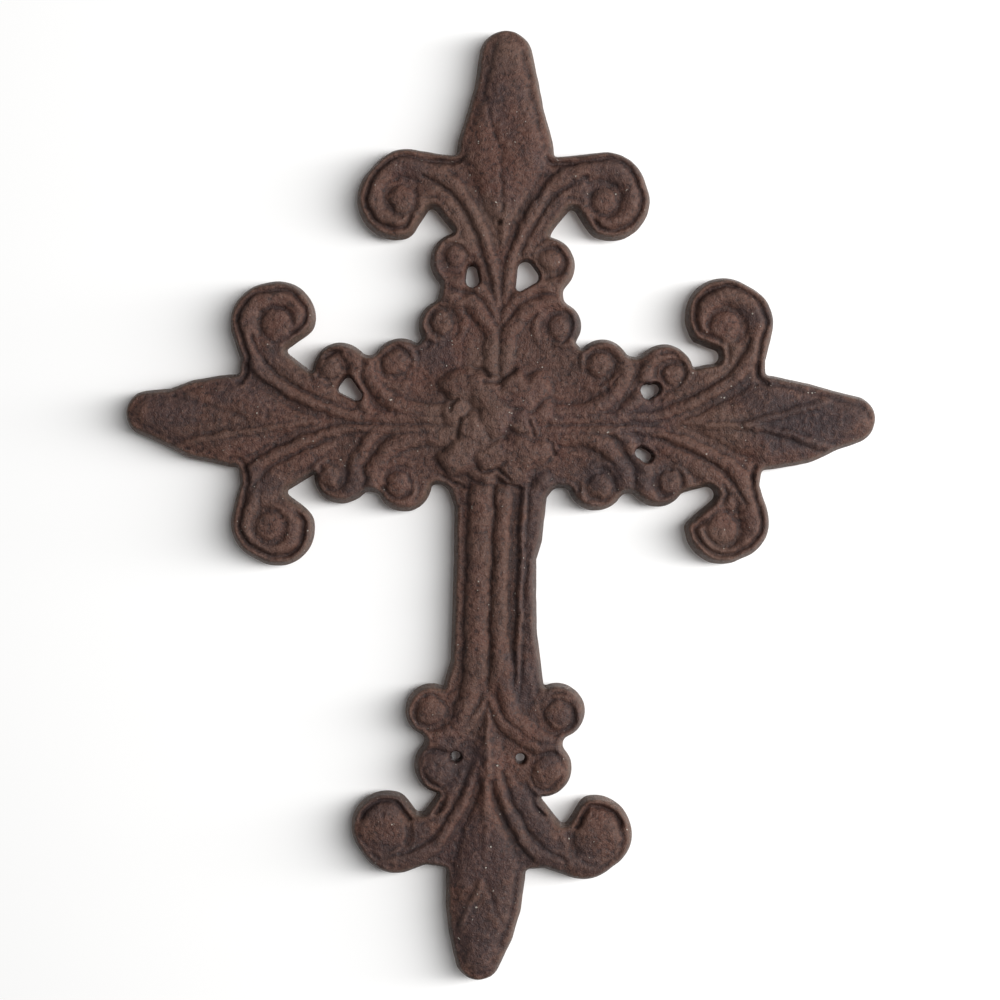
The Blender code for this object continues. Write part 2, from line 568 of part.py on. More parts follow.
# The sharp crevices in and round the rosette: places across and up the cross.
ROSETTE_CREVICES = (
    ((-4.5, 14.0), (-1.0, 14.0), (2.5, 15.6), (5.0, 18.6)), ((-8.0, 18.2), (-5.5, 18.0), (-3.2, 16.2)),
    ((-6.4, -13.4), (-4.6, -14.8), (0.5, -13.8), (4.8, -16.8)), ((1.5, -17.4), (5.0, -18.6), (9.0, -19.6)),
    ((-11.6, 2.0), (-12.4, -3.8)), ((-15.4, 4.4), (-15.2, 6.4), (-13.0, 8.4)), ((10.2, 2.0), (12.0, -2.4)),
    ((15.6, -3.8), (17.4, -5.2), (18.6, -8.0)), ((-17.0, -16.4), (-10.0, -19.6)),
)
ROSETTE_CREVICE_HALF = 0.6
ROSETTE_CREVICE_DEPTH = 1.3


def rosette(x, y):
    """A blurred flower: rumpled petals, each tilted its own way, that swell a little out of one low body."""
    turn = 2.0 * np.pi / WAVE_LENGTH
    wx = x + WAVE * np.sin(turn * y + 1.0) + 0.5 * WAVE * np.sin(turn * (1.7 * y + x))
    wy = y + WAVE * np.sin(turn * x + 2.2) + 0.5 * WAVE * np.sin(turn * (1.9 * x - y) + 0.7)
    body = np.zeros(x.shape)
    swell = np.zeros(x.shape)
    for index, (px, py, radius, rise) in enumerate(PETALS):
        share = np.hypot(wx - px, wy - py) / radius
        towards = np.cos(np.arctan2(wy - py, wx - px) - TILT_STEP * index)
        tilt = 1.0 + PETAL_TILT * towards * np.clip(share, 0.0, 1.0)
        draft = np.clip((BODY_REACH - share) * radius / BODY_RUN, 0.0, 1.0)
        body += (rise ** 0.5 * (1.0 - (1.0 - draft) ** 2)) ** PETAL_MERGE
        swell += (rise * tilt * (1.0 - np.clip(share, 0.0, 1.0) ** 3)) ** PETAL_MERGE
    body, swell = body ** (1.0 / PETAL_MERGE), swell ** (1.0 / PETAL_MERGE)
    return PETAL_RISE * (BODY_SHARE * body + (1.0 - BODY_SHARE) * swell)


def wall(inside):
    """Height of the drafted wall by the distance in from the outline."""
    return WALL_TOP * (1.0 - np.exp(-inside / WALL_RUN))


def nearest(x, y, points, chunk=4000):
    """Distance from each place to the nearest of the points."""
    result = np.empty(x.shape)
    px, py = points[:, 0].astype(np.float32), points[:, 1].astype(np.float32)
    for start in range(0, len(x), chunk):
        part = slice(start, start + chunk)
        dx = x[part, None].astype(np.float32) - px
        dy = y[part, None].astype(np.float32) - py
        result[part] = np.sqrt((dx * dx + dy * dy).min(axis=1))
    return result


def surface(x, y, rim, holes):
    """Height of the front over the flat back; rim and holes are points on the outline and on the holes."""
    inside = nearest(x, y, rim)
    height = blend_min(wall(inside), GROUND_HEIGHT + relief(x, y), SHOULDER)
    crevice = np.exp(-(((inside - CREVICE_INSET) / CREVICE_HALF) ** 2))
    height = height - CREVICE_DEPTH * crevice * crevice_share(x, y)
    lip = np.clip(nearest(x, y, holes) / HOLE_RUN, 0.0, 1.0)
    return height * (1.0 - (1.0 - lip) ** 1.8)


# The surface is sampled at this spacing, then simplified to about this many triangles.
SAMPLE_SPACING = 0.9
FRONT_TRIANGLES = 8600
GRID_MARGIN = 4.0

IRON_COLOUR = (0.080, 0.049, 0.042, 1.0)
IRON_ROUGHNESS = 0.82
IRON_METALLIC = 0.35


def metal(x, y):
    """Distance to the edge of the metal, holes counted, negative on metal."""
    return np.maximum(outline(x, y), -hole_outline(x, y))


def ease_onto_edge(x, y, field, spacing):
    """Move the samples that nearly touch the edge exactly onto it, so that no sliver is cut there."""
    value = field(x, y)
    near = np.abs(value) < 0.32 * spacing
    step = 0.05
    for _ in range(3):
        px, py = x[near], y[near]
        here = field(px, py)
        slope_x = (field(px + step, py) - field(px - step, py)) / (2.0 * step)
        slope_y = (field(px, py + step) - field(px, py - step)) / (2.0 * step)
        steep = np.maximum(slope_x**2 + slope_y**2, 0.25)
        x[near] = px - here * slope_x / steep
        y[near] = py - here * slope_y / steep
    value[near] = 0.0
    return value


def cut_grid(field, spacing, reach):
    """Triangles that fill the region where the field is negative, and which points lie on its edge."""
    left, right, low, high = reach
    columns = np.arange(left, right + spacing, spacing)
    rows = np.arange(low, high + spacing, spacing)
    x, y = (values.ravel() for values in np.meshgrid(columns, rows))
    value = ease_onto_edge(x, y, field, spacing)
    index = np.arange(x.size).reshape(len(rows), len(columns))
    a, b = index[:-1, :-1].ravel(), index[:-1, 1:].ravel()
    c, d = index[1:, 1:].ravel(), index[1:, :-1].ravel()
    even = (np.add.outer(np.arange(len(rows) - 1), np.arange(len(columns) - 1)) % 2 == 0).ravel()
    first = np.where(even[:, None], np.stack((a, b, c), 1), np.stack((a, b, d), 1))
    second = np.where(even[:, None], np.stack((a, c, d), 1), np.stack((b, c, d), 1))
    corners = np.vstack((first, second))
    inside = (value[corners] < 0.0).any(axis=1)
    outside = (value[corners] > 0.0).any(axis=1)
    faces = [tuple(row) for row in corners[inside & ~outside]]
    points = list(zip(x, y))
    on_edge = list(value == 0.0)
    cuts = {}

    def crossing(start, end):
        key = (min(start, end), max(start, end))
        if key not in cuts:
            share = value[start] / (value[start] - value[end])
            cuts[key] = len(points)
            points.append((x[start] + share * (x[end] - x[start]), y[start] + share * (y[end] - y[start])))
            on_edge.append(True)
        return cuts[key]

    for row in corners[inside & outside]:
        polygon = []
        for start, end in zip(row, np.roll(row, -1)):
            if value[start] <= 0.0:
                polygon.append(start)
            if value[start] * value[end] < 0.0:
                polygon.append(crossing(start, end))
        faces.extend((polygon[0], p, q) for p, q in zip(polygon[1:], polygon[2:]))
    faces = np.array(faces)
    used = np.unique(faces)
    renumber = np.zeros(len(points), int)
    renumber[used] = np.arange(len(used))
    return np.array(points)[used], renumber[faces], np.array(on_edge)[used]


def front_mesh(spacing):
    """The open front surface as a mesh, its edge in the plane of the back."""
    tips = [arm["leaf"][-1][0] + arm["leaf"][-1][2] + GRID_MARGIN for arm in ARMS.values()]
    top, left, bottom, right = tips
    points, faces, on_edge = cut_grid(metal, spacing, (-left, right, -bottom, top))
    edge_points = points[on_edge]
    on_rim = outline(*edge_points.T) > -0.5 * HOLE_RUN
    in_hole = hole_outline(*edge_points.T) < 0.5 * HOLE_RUN
    rise = np.where(on_edge, 0.0, surface(*points.T, edge_points[on_rim], edge_points[in_hole]))
    mesh = bpy.data.meshes.new("wall_cross_front")
    corners = np.column_stack((points[:, 0], -rise, points[:, 1])) * MM
    mesh.from_pydata(corners.tolist(), [], faces.tolist())
    mesh.update()
    return mesh


def simplify(mesh, triangles):
    """The same surface with its flat stretches in fewer triangles."""
    source = bpy.data.objects.new("front_guide", mesh)
    bpy.context.scene.collection.objects.link(source)
    reducer = source.modifiers.new("Simplify", "DECIMATE")
    reducer.ratio = min(1.0, triangles / len(mesh.polygons))
    evaluated = source.evaluated_get(bpy.context.evaluated_depsgraph_get())
    simple = bpy.data.meshes.new_from_object(evaluated)
    bpy.data.objects.remove(source)
    return simple


def close_back(mesh):
    """Lay the front's free edge exactly on the wall plane and fill the flat back within it."""
    solid = bmesh.new()
    solid.from_mesh(mesh)
    rim = [edge for edge in solid.edges if edge.is_boundary]
    for edge in rim:
        for corner in edge.verts:
            corner.co.y = 0.0
    bmesh.ops.triangle_fill(solid, use_beauty=True, edges=rim, normal=(0.0, 1.0, 0.0))
    bmesh.ops.recalc_face_normals(solid, faces=solid.faces)
    closed = bpy.data.meshes.new("wall_cross")
    solid.to_mesh(closed)
    solid.free()
    return closed


def cast_iron():
    material = bpy.data.materials.new("cast_iron")
    material.use_nodes = True
    shader = material.node_tree.nodes["Principled BSDF"]
    shader.inputs["Base Color"].default_value = IRON_COLOUR
    shader.inputs["Roughness"].default_value = IRON_ROUGHNESS
    shader.inputs["Metallic"].default_value = IRON_METALLIC
    return material


def build():
    for item in list(bpy.data.objects):
        bpy.data.objects.remove(item)
    mesh = close_back(simplify(front_mesh(SAMPLE_SPACING), FRONT_TRIANGLES))
    mesh.materials.append(cast_iron())
    cross = bpy.data.objects.new("wall_cross", mesh)
    bpy.context.scene.collection.objects.link(cross)


build()
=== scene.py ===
"""Looks of a cast-iron wall cross: its sand-cast relief, its rusty finish with painted shade, highlights and
glints, and the photograph's light.

The relief repeats the layout of the CAD part at a finer spacing, with the roughness of the casting.
"""

import math

import bmesh
import bpy
import numpy as np
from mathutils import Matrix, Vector


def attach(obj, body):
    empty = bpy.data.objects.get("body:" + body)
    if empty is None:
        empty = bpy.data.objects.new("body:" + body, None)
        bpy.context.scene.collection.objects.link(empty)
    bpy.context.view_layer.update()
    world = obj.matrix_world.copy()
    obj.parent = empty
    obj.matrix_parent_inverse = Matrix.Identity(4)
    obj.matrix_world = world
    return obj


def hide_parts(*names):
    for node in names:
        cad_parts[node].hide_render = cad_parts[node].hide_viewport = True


# Sizes are in millimetres, and MM turns them into Blender's metres.
MM = 0.001

# How far each arm reaches, from the point where the arms' middles meet to its tip.
TOP_REACH = 126.7
LEFT_REACH = 118.5
RIGHT_REACH = 121.0
BOTTOM_REACH = 176.8

# The casting's section: a drafted wall from its flat back, and the ground that carries the relief.
WALL_TOP = 14.0
WALL_RUN = 2.4
GROUND_HEIGHT = 6.0
SHOULDER = 1.3
HOLE_RUN = 0.9
CORNER_FILLET = 1.4
SCROLL_FILLET = 0.7

# The crevice that follows the outline: how far in it lies, its depth and half-width.
CREVICE_INSET = 3.0
CREVICE_DEPTH = 2.0
CREVICE_HALF = 0.85

# The relief's sizes over its ground.
LEAF_RISE = 1.6
RIB_RISE = 1.55
BUTTON_RISE = 1.35
EYE_RISE = 1.3
SHAFT_RISE = 2.2
PETAL_RISE = 3.0
VEIN_DEPTH = 0.4
VEIN_HALF = 0.8
MARGIN_DEPTH = 1.1
MARGIN_HALF = 0.8
GROOVE_DEPTH = 0.9
GROOVE_HALF = 0.7
LEAF_GROOVE_DEPTH = 1.4
LEAF_GROOVE_HALF = 1.1
DOME_GROOVE_DEPTH = 1.5

# How the leaves and the curls' ribs keep clear of the outline.
RIM_BAND = 3.2
LEAF_MARGIN = 2.0
LEAF_SLOPE = 6.0
LEAF_HEEL = (2.0, 1.0)

# The ribs that wind round the curls and the small scrolls: half-widths at their start and end.
CURL_RIB = (3.2, 2.2)
CURL_RIB_INSET = 1.8
CURL_RIB_END = 1.6
CURL_RIB_SHARES = (1.0, 0.6)
SCROLL_RIB = (2.1, 1.4)

# The block of metal at the crossing, from the point where the arms' middles meet.
CROSSING_SIDE = 26.2
CROSSING_TOP = 27.8
CROSSING_BOTTOM = 18.8
CROSSING_CORNER = 3.0
WEB_INSET = 2.4
FORK_INSET = 1.5

# A large curl's stem where it leaves the arm: how far past the neck's last disc, its distance from the arm's
# middle, and how much narrower than that disc it is.
CURL_STEM = (0.5, 6.0, 4.5)

# Each arm is set out from the crossing: first the distance along it, then the distance across it,
# with the clockwise side positive. Its heading is in degrees from the arm that points right. The distances
# along it are stretched later so that the leaf's tip comes at the arm's reach.
LAYOUT = {
    "top": {
        "reach": TOP_REACH,
        "heading": 90.0,
        "fluted_from": None,
        "rib_root": None,
        "leaf": ((88.0, 0.0, 15.6), (98.0, -0.1, 12.6), (106.0, 0.0, 10.6), (118.2, -0.7, 8.5)),
        "neck": ((16.0, 0.0, 17.0), (46.0, 0.0, 15.0), (62.0, 0.0, 15.0), (74.0, 0.0, 16.0)),
        "pad": ((57.0, 0.0, 2.6),),
        "veins": (((104.5, -6.5), (95.0, -4.6), (87.6, -1.7), (77.0, -0.9), (68.5, -0.8)),
                  ((106.0, 7.0), (99.5, 9.4), (92.0, 11.0)), ((121.0, -4.6), (112.0, -6.2), (103.0, -7.8)),
                  ((119.0, 4.4), (111.0, 6.4), (104.0, 7.6))),
        "margin": (),
        "ridges": (),
        -1: {
            "head": (71.5, 34.3, 12.7), "shoulder": (75.3, 31.0, 12.8), "elbow": (76.5, 21.0, 10.2),
            "bay": ((67.3, 22.8, 1.6), (55.5, 21.8, 8.6)),
            "eye": (71.3, 32.3), "dome": 4.4, "outer": (52.5, 13.5, 9.4), "inner": (32.0, 18.3, 7.8),
            "outer_button": (53.6, 14.9, 3.3), "inner_button": (32.4, 18.7, 3.8),
            "hole": ((49.5, 9.5, 1.6), (46.5, 9.3, 2.1)),
        },
        1: {
            "head": (73.0, 34.2, 12.4), "shoulder": (76.0, 32.6, 13.0), "elbow": (77.2, 21.0, 10.2),
            "bay": ((68.5, 21.8, 1.5), (57.0, 21.2, 8.0)),
            "eye": (72.7, 31.7), "dome": 4.4, "outer": (52.0, 14.0, 9.3), "inner": (32.8, 18.3, 7.8),
            "outer_button": (53.2, 15.3, 3.8), "inner_button": (32.0, 18.7, 4.0),
            "hole": ((50.6, 7.5, 2.4), (48.2, 9.6, 2.2), (45.0, 6.0, 1.3), (50.6, 7.5, 2.4)),
        },
    },
    "left": {
        "reach": LEFT_REACH,
        "heading": 180.0,
        "fluted_from": 12.0,
        "rib_root": 4.5,
        "leaf": ((84.0, -0.5, 14.9), (94.0, -0.5, 13.0), (102.0, -0.4, 9.8), (111.2, 0.9, 7.3)),
        "neck": ((16.0, 0.0, 16.5), (46.0, 0.0, 15.0), (60.0, 0.0, 15.5), (72.0, 0.0, 15.5)),
        "pad": ((56.0, 0.0, 2.6),),
        "veins": (((101.0, -7.0), (94.0, -5.2), (86.0, -3.0), (79.0, -0.8)),
                  ((103.0, 6.4), (95.0, 4.8), (87.0, 2.4), (79.0, 0.4))),
        "margin": (),
        "ridges": (((58.0, -0.6, 0.8, 0.3), (69.4, -2.4, 0.8, 0.4), (85.5, -5.2, 0.9, 0.45),
                    (101.0, -9.0, 0.8, 0.3)),),
        -1: {
            "head": (69.2, 34.6, 12.0), "shoulder": (72.1, 33.0, 12.1), "elbow": (71.2, 21.0, 10.2),
            "bay": ((65.0, 22.9, 1.2), (53.0, 23.2, 8.0)),
            "eye": (71.3, 34.0), "dome": 5.0, "outer": (49.0, 17.0, 9.0), "inner": (29.0, 19.2, 8.6),
            "outer_button": (52.7, 17.3, 3.7), "inner_button": (31.0, 19.2, 4.2),
            "hole": (),
        },
        1: {
            "head": (70.6, 32.8, 11.6), "shoulder": (73.6, 31.2, 12.6), "elbow": (72.4, 21.0, 10.2),
            "bay": ((66.4, 22.2, 1.2), (54.4, 22.2, 8.2)),
            "eye": (71.0, 30.3), "dome": 5.0, "outer": (50.5, 16.5, 9.0), "inner": (31.5, 19.0, 8.5),
            "outer_button": (53.7, 17.3, 4.0), "inner_button": (32.9, 19.2, 4.4),
            "hole": ((49.6, 10.6, 1.4), (48.0, 12.8, 1.5), (45.0, 8.6, 1.5), (49.6, 10.6, 1.4)),
        },
    },
    "bottom": {
        "reach": BOTTOM_REACH,
        "heading": 269.8,
        "fluted_from": None,
        "rib_root": 4.0,
        "leaf": ((141.5, -1.2, 12.8), (152.0, -0.8, 12.2), (160.0, -0.4, 10.6), (169.3, 0.3, 7.5)),
        "neck": ((84.0, -1.5, 15.4), (104.0, -1.5, 16.0), (118.0, -1.5, 15.5), (130.0, -1.5, 16.0)),
        "pad": ((89.0, 0.0, 2.2), (97.0, -0.4, 5.2), (106.0, -0.8, 7.6), (118.0, -1.0, 7.6)),
        "veins": (((163.0, -8.6), (156.7, -6.4), (150.7, -4.0), (144.5, -1.0)),),
        "margin": ((141.0, -11.5), (144.0, -11.2), (151.0, -10.6), (158.3, -9.0), (164.8, -6.8)),
        "ridges": (((92.0, -0.2, 0.9, 0.25), (106.0, -0.6, 1.1, 0.4), (122.0, -0.9, 1.4, 0.35),
                    (136.0, -1.0, 1.0, 0.25)),
                   ((158.5, 6.2, 0.8, 0.3), (151.6, 3.1, 0.9, 0.5), (144.8, -0.2, 0.9, 0.5))),
        -1: {
            "head": (128.7, 35.6, 12.0), "shoulder": (131.0, 31.8, 12.7), "elbow": (130.2, 21.0, 10.2),
            "bay": ((124.1, 25.4, 1.5), (113.0, 24.3, 8.2)),
            "eye": (129.3, 36.3), "dome": 7.8, "outer": (108.5, 18.5, 9.0), "inner": (90.0, 22.3, 8.9),
            "outer_button": (109.5, 20.5, 5.6), "inner_button": (91.0, 22.6, 4.6),
            "hole": ((105.3, 11.2, 1.2), (105.3, 10.8, 1.2)),
        },
        1: {
            "head": (128.8, 30.7, 11.5), "shoulder": (131.0, 27.8, 12.6), "elbow": (130.4, 19.0, 10.2),
            "bay": ((121.4, 20.4, 2.3), (112.5, 20.6, 7.6)),
            "eye": (129.3, 32.0), "dome": 7.8, "outer": (108.5, 13.5, 9.2), "inner": (91.0, 17.8, 8.4),
            "outer_button": (109.5, 16.0, 5.6), "inner_button": (91.0, 18.0, 4.8),
            "hole": ((105.3, 9.4, 1.2), (105.3, 9.8, 1.2)),
        },
    },
    "right": {
        "reach": RIGHT_REACH,
        "heading": 2.9,
        "fluted_from": 12.0,
        "rib_root": 4.3,
        "leaf": ((86.0, 0.4, 15.2), (96.0, 0.6, 13.2), (105.0, 0.2, 9.9), (113.4, 0.0, 7.6)),
        "neck": ((16.0, 0.0, 16.5), (46.0, 0.0, 15.5), (62.0, 0.0, 16.0), (74.0, 0.0, 16.0)),
        "pad": ((58.0, 0.0, 2.6),),
        "veins": (((106.0, 10.8), (98.7, 8.2), (91.7, 5.9), (84.5, 4.0)),),
        "margin": ((83.0, -13.0), (86.0, -12.5), (93.0, -11.0), (101.3, -8.6), (108.0, -6.8), (114.0, -5.3),
                   (117.2, -3.8), (118.6, -1.0)),
        "ridges": (((66.0, 1.2, 0.9, 0.4), (79.0, 1.2, 1.0, 0.6), (89.0, -1.4, 1.0, 0.7),
                    (97.1, -3.8, 1.0, 0.65), (105.7, -5.9, 0.9, 0.4)),
                   ((79.0, 1.2, 1.0, 0.6), (92.7, 4.4, 1.0, 0.75), (99.5, 6.8, 1.0, 0.7),
                    (106.4, 9.3, 0.9, 0.5))),
        -1: {
            "head": (73.2, 33.7, 12.5), "shoulder": (76.0, 31.5, 13.1), "elbow": (76.2, 21.0, 10.2),
            "bay": ((69.0, 21.0, 2.2), (57.4, 22.4, 5.6)),
            "eye": (73.0, 30.3), "dome": 5.0, "outer": (53.6, 15.8, 9.5), "inner": (34.0, 19.0, 8.5),
            "outer_button": (56.0, 15.4, 3.6), "inner_button": (32.9, 18.7, 4.2),
            "hole": ((50.3, 11.0, 1.7), (48.3, 9.8, 1.7), (48.0, 10.8, 1.8)),
        },
        1: {
            "head": (71.2, 33.3, 12.0), "shoulder": (73.8, 31.6, 12.6), "elbow": (73.0, 21.0, 10.2),
            "bay": ((66.4, 23.0, 2.5), (56.0, 28.2, 5.0)),
            "eye": (70.7, 34.0), "dome": 5.0, "outer": (51.0, 17.3, 9.2), "inner": (31.3, 18.5, 8.9),
            "outer_button": (54.6, 18.7, 3.8), "inner_button": (32.4, 19.7, 4.4),
            "hole": ((47.4, 10.4, 1.7), (45.6, 9.2, 1.6)),
        },
    },
}

# Rows that every arm's ornament follows: distance along the arm and across it, half-width, and share of the
# full rise. The large curls' rows are laid from the eye, and the small scrolls' from the scroll's base.
STEM = ((-33.0, 1.2, 0.9, 0.35), (-26.0, 2.0, 1.2, 0.55), (-20.0, 3.1, 1.5, 0.7), (-14.0, 4.8, 1.8, 0.9),
        (-7.0, 8.0, 2.2, 1.0), (-1.0, 11.2, 2.5, 1.0), (5.0, 15.6, 2.7, 1.0))
STRIP = ((-19.0, 7.0, 1.2, 0.25), (-13.0, 10.0, 2.4, 0.5), (-7.0, 13.4, 3.0, 0.55), (-1.5, 18.0, 3.4, 0.55),
         (2.0, 24.0, 3.6, 0.5))
STRIP_GROOVE = ((-20.0, 5.2), (-11.0, 8.6), (-6.0, 11.2), (-1.0, 14.2), (2.8, 17.6), (5.4, 21.5), (7.6, 26.0))
LEAF_GROOVE = ((-16.0, 1.8), (-10.0, 3.6), (-5.0, 6.0), (1.0, 9.4), (7.0, 13.6), (11.5, 18.0))
INNER_RIB = ((17.0, 2.4, 1.7, 0.5), (24.0, 2.4, 1.9, 0.7), (29.5, 2.8, 2.1, 0.85), (34.2, 5.6, 2.2, 0.95),
             (38.4, 9.6, 2.2, 1.0))
OUTER_RIB = ((33.0, 0.6, 0.9, 0.3), (38.0, 2.8, 1.3, 0.6), (41.6, 6.0, 1.7, 0.8))
INNER_TRACE = (7.6, 6.6)
INNER_TRACE_TURN = (-120.0, 0.0)
INNER_TRACE_RIB = (1.0, 1.3)
SCROLL_BASE = 32.0
INNER_TURN = (-42.0, 185.0)
OUTER_TURN = (208.0, -70.0)

# How far a large curl's rib winds, in degrees: round a small eye, and round a wide dome.
CURL_TURN = (-18.0, 262.0)
WIDE_CURL_TURN = (-18.0, 60.0)
DOME_ARC_CLEAR = (1.0, 0.6)

# Where a small scroll's rib starts round its button, and how far off the button it ends.
INNER_WIND = 9.2
OUTER_WIND = 9.0
WIND_CLEAR = 0.4
WIDE_RIB_SHIFT = 6.0

# The crevice's run round a curl's eye: 0 points along the arm, 90 away from its middle.
CREVICE_TURN = (-95.0, 225.0)
DOME_ARC_TURN = (100.0, 290.0)
CREVICE_SEAM = 110.0
CREVICE_FAINT = 0.12
CREVICE_FADE = (25.0, 30.0)
CREVICE_REACH = (19.0, 25.0)
FLUTE = 1.9
FLUTE_END = 30.0
FLUTE_RIB = ((1.7, 0.8), (1.5, 0.7))
WIDE_DOME = 6.0
RIB_CREST = 0.8
RIB_SPREAD = 1.3

# The shaft below the crossing, between its worn edges: distance along it, then half-width on each side.
SHAFT_LEFT_OF_VIEW = ((16.0, 19.0), (21.0, 14.6), (26.0, 12.7), (60.0, 12.2), (75.0, 12.2), (84.0, 14.0))
SHAFT_RIGHT_OF_VIEW = ((16.0, 21.0), (22.0, 16.6), (36.0, 15.6), (42.0, 13.9), (50.0, 14.4), (66.0, 15.1),
                       (76.0, 16.6), (84.0, 18.0))

# A distance that is farther than anything on the cross.
FAR = 1e3


def blend_min(a, b, radius):
    """The nearer of two forms, with a fillet of this radius where they meet."""
    share = np.clip(0.5 + 0.5 * (b - a) / radius, 0.0, 1.0)
    return b + (a - b) * share - radius * share * (1.0 - share)


def blend_max(a, b, radius):
    return -blend_min(-a, -b, radius)


def smooth_step(value, start, end):
    t = np.clip((value - start) / (end - start), 0.0, 1.0)
    return t * t * (3.0 - 2.0 * t)


def along_segment(u, v, start, end):
    """How far along a segment the nearest point lies, as a share, and the distance to it."""
    du, dv = end[0] - start[0], end[1] - start[1]
    share = np.clip(((u - start[0]) * du + (v - start[1]) * dv) / max(du * du + dv * dv, 1e-9), 0.0, 1.0)
    return share, np.hypot(u - start[0] - share * du, v - start[1] - share * dv)


def chain(u, v, balls):
    """Distance to the discs (along, across, radius) with straight sides drawn from each to the next."""
    result = np.full(np.shape(u), FAR)
    for start, end in zip(balls, balls[1:]):
        length = max(math.hypot(end[0] - start[0], end[1] - start[1]), 1e-6)
        along = ((u - start[0]) * (end[0] - start[0]) + (v - start[1]) * (end[1] - start[1])) / length
        across = ((v - start[1]) * (end[0] - start[0]) - (u - start[0]) * (end[1] - start[1])) / length
        taper = (end[2] - start[2]) / length
        lean = taper / math.sqrt(max(1.0 - taper**2, 0.05))
        foot = np.clip(along + np.abs(across) * lean, 0.0, length)
        result = np.minimum(result, np.hypot(along - foot, across) - start[2] - foot * taper)
    return result


def disc(u, v, centre):
    return np.hypot(u - centre[0], v - centre[1]) - centre[2]


def stretch_of(parts):
    """How much longer than its layout an arm is, with its leaf's round tip kept."""
    along, _, radius = parts["leaf"][-1]
    return (parts["reach"] - radius) / along


def stretched(value, factor):
    """A row, or rows of any depth, with the distance along the arm multiplied."""
    if isinstance(value, dict):
        return {key: stretched(item, factor) for key, item in value.items()}
    if not isinstance(value, tuple) or not value:
        return value
    if isinstance(value[0], tuple):
        return tuple(stretched(row, factor) for row in value)
    return (value[0] * factor, *value[1:])


ARMS = {arm: stretched(parts, stretch_of(parts)) for arm, parts in LAYOUT.items()}
SHAFT_EDGES = stretched((SHAFT_LEFT_OF_VIEW, SHAFT_RIGHT_OF_VIEW), stretch_of(LAYOUT["bottom"]))


def arm_frame(x, y, arm):
    """Distance along an arm, and across it to its clockwise side."""
    angle = math.radians(ARMS[arm]["heading"])
    along, up = math.cos(angle), math.sin(angle)
    return x * along + y * up, x * up - y * along


def arm_outline(u, v, arm):
    parts = ARMS[arm]
    result = chain(u, v, parts["leaf"])
    result = blend_min(result, chain(u, v, parts["neck"]), CORNER_FILLET)
    root = parts["neck"][-1]
    for side in (-1, 1):
        w = v * side
        half = parts[side]
        head, shoulder = half["head"], half["shoulder"]
        stem = (root[0] + CURL_STEM[0], CURL_STEM[1], root[2] - CURL_STEM[2])
        outer = half["outer"]
        fork = (outer[0], outer[1] - FORK_INSET, outer[2] - FORK_INSET)
        curl = chain(u, w, (head, shoulder, half["elbow"], stem))
        curl = np.minimum(curl, chain(u, w, (half["elbow"], fork)))
        curl = blend_max(curl, -chain(u, w, half["bay"]), CORNER_FILLET)
        result = blend_min(result, curl, CORNER_FILLET)
        for name in ("outer", "inner"):
            result = blend_min(result, disc(u, w, half[name]), SCROLL_FILLET)
        web = [(c[0], c[1] - WEB_INSET, c[2] - WEB_INSET) for c in (half["outer"], half["inner"])]
        result = blend_min(result, chain(u, w, web), CORNER_FILLET)
    return result


def shaft_outline(u, v):
    clockwise, counter = (np.interp(u, *np.array(edge).T) for edge in SHAFT_EDGES)
    across = np.maximum(v - clockwise, -v - counter)
    start, end = SHAFT_EDGES[0][0][0], SHAFT_EDGES[0][-1][0]
    ends = np.maximum(start - u, u - end)
    return np.maximum(across, ends)


def crossing_outline(x, y):
    middle = 0.5 * (CROSSING_TOP - CROSSING_BOTTOM)
    qx = np.abs(x) - CROSSING_SIDE + CROSSING_CORNER
    qy = np.abs(y - middle) - 0.5 * (CROSSING_TOP + CROSSING_BOTTOM) + CROSSING_CORNER
    outside = np.hypot(np.maximum(qx, 0.0), np.maximum(qy, 0.0))
    return outside + np.minimum(np.maximum(qx, qy), 0.0) - CROSSING_CORNER


def outline(x, y):
    """Distance to the cross's outline seen from the front, negative on metal."""
    result = crossing_outline(x, y)
    for arm in ARMS:
        u, v = arm_frame(x, y, arm)
        result = blend_min(result, arm_outline(u, v, arm), CORNER_FILLET)
    u, v = arm_frame(x, y, "bottom")
    result = blend_min(result, shaft_outline(u, v), CORNER_FILLET)
    return result


def hole_outline(x, y):
    """Distance to the openwork's holes, negative inside one."""
    result = np.full(x.shape, FAR)
    for arm, parts in ARMS.items():
        u, v = arm_frame(x, y, arm)
        for side in (-1, 1):
            if parts[side]["hole"]:
                result = np.minimum(result, chain(u, v * side, parts[side]["hole"]))
    return result


def smooth_path(points, steps=6):
    """A smooth curve through the points, each with its half-width and rise as further columns."""
    knots = np.array([points[0], *points, points[-1]], float)
    rows = []
    for a, b, c, d in zip(knots, knots[1:], knots[2:], knots[3:]):
        for t in np.arange(steps) / steps:
            rows.append(0.5 * (2 * b + (c - a) * t + (2 * a - 5 * b + 4 * c - d) * t**2
                               + (3 * b - a - 3 * c + d) * t**3))
    rows.append(knots[-1])
    return rows


def spiral(centre, radii, angles, half_widths, rises, steps=14):
    """A winding run of points about a centre; an angle of 0 points along the arm, 90 away from its middle."""
    rows = []
    for t in np.linspace(0.0, 1.0, steps):
        angle = math.radians(angles[0] + t * (angles[1] - angles[0]))
        radius = radii[0] + t * (radii[1] - radii[0])
        rows.append((centre[0] + radius * math.cos(angle), centre[1] + radius * math.sin(angle),
                     half_widths[0] + t * (half_widths[1] - half_widths[0]),
                     rises[0] + t * (rises[1] - rises[0])))
    return rows


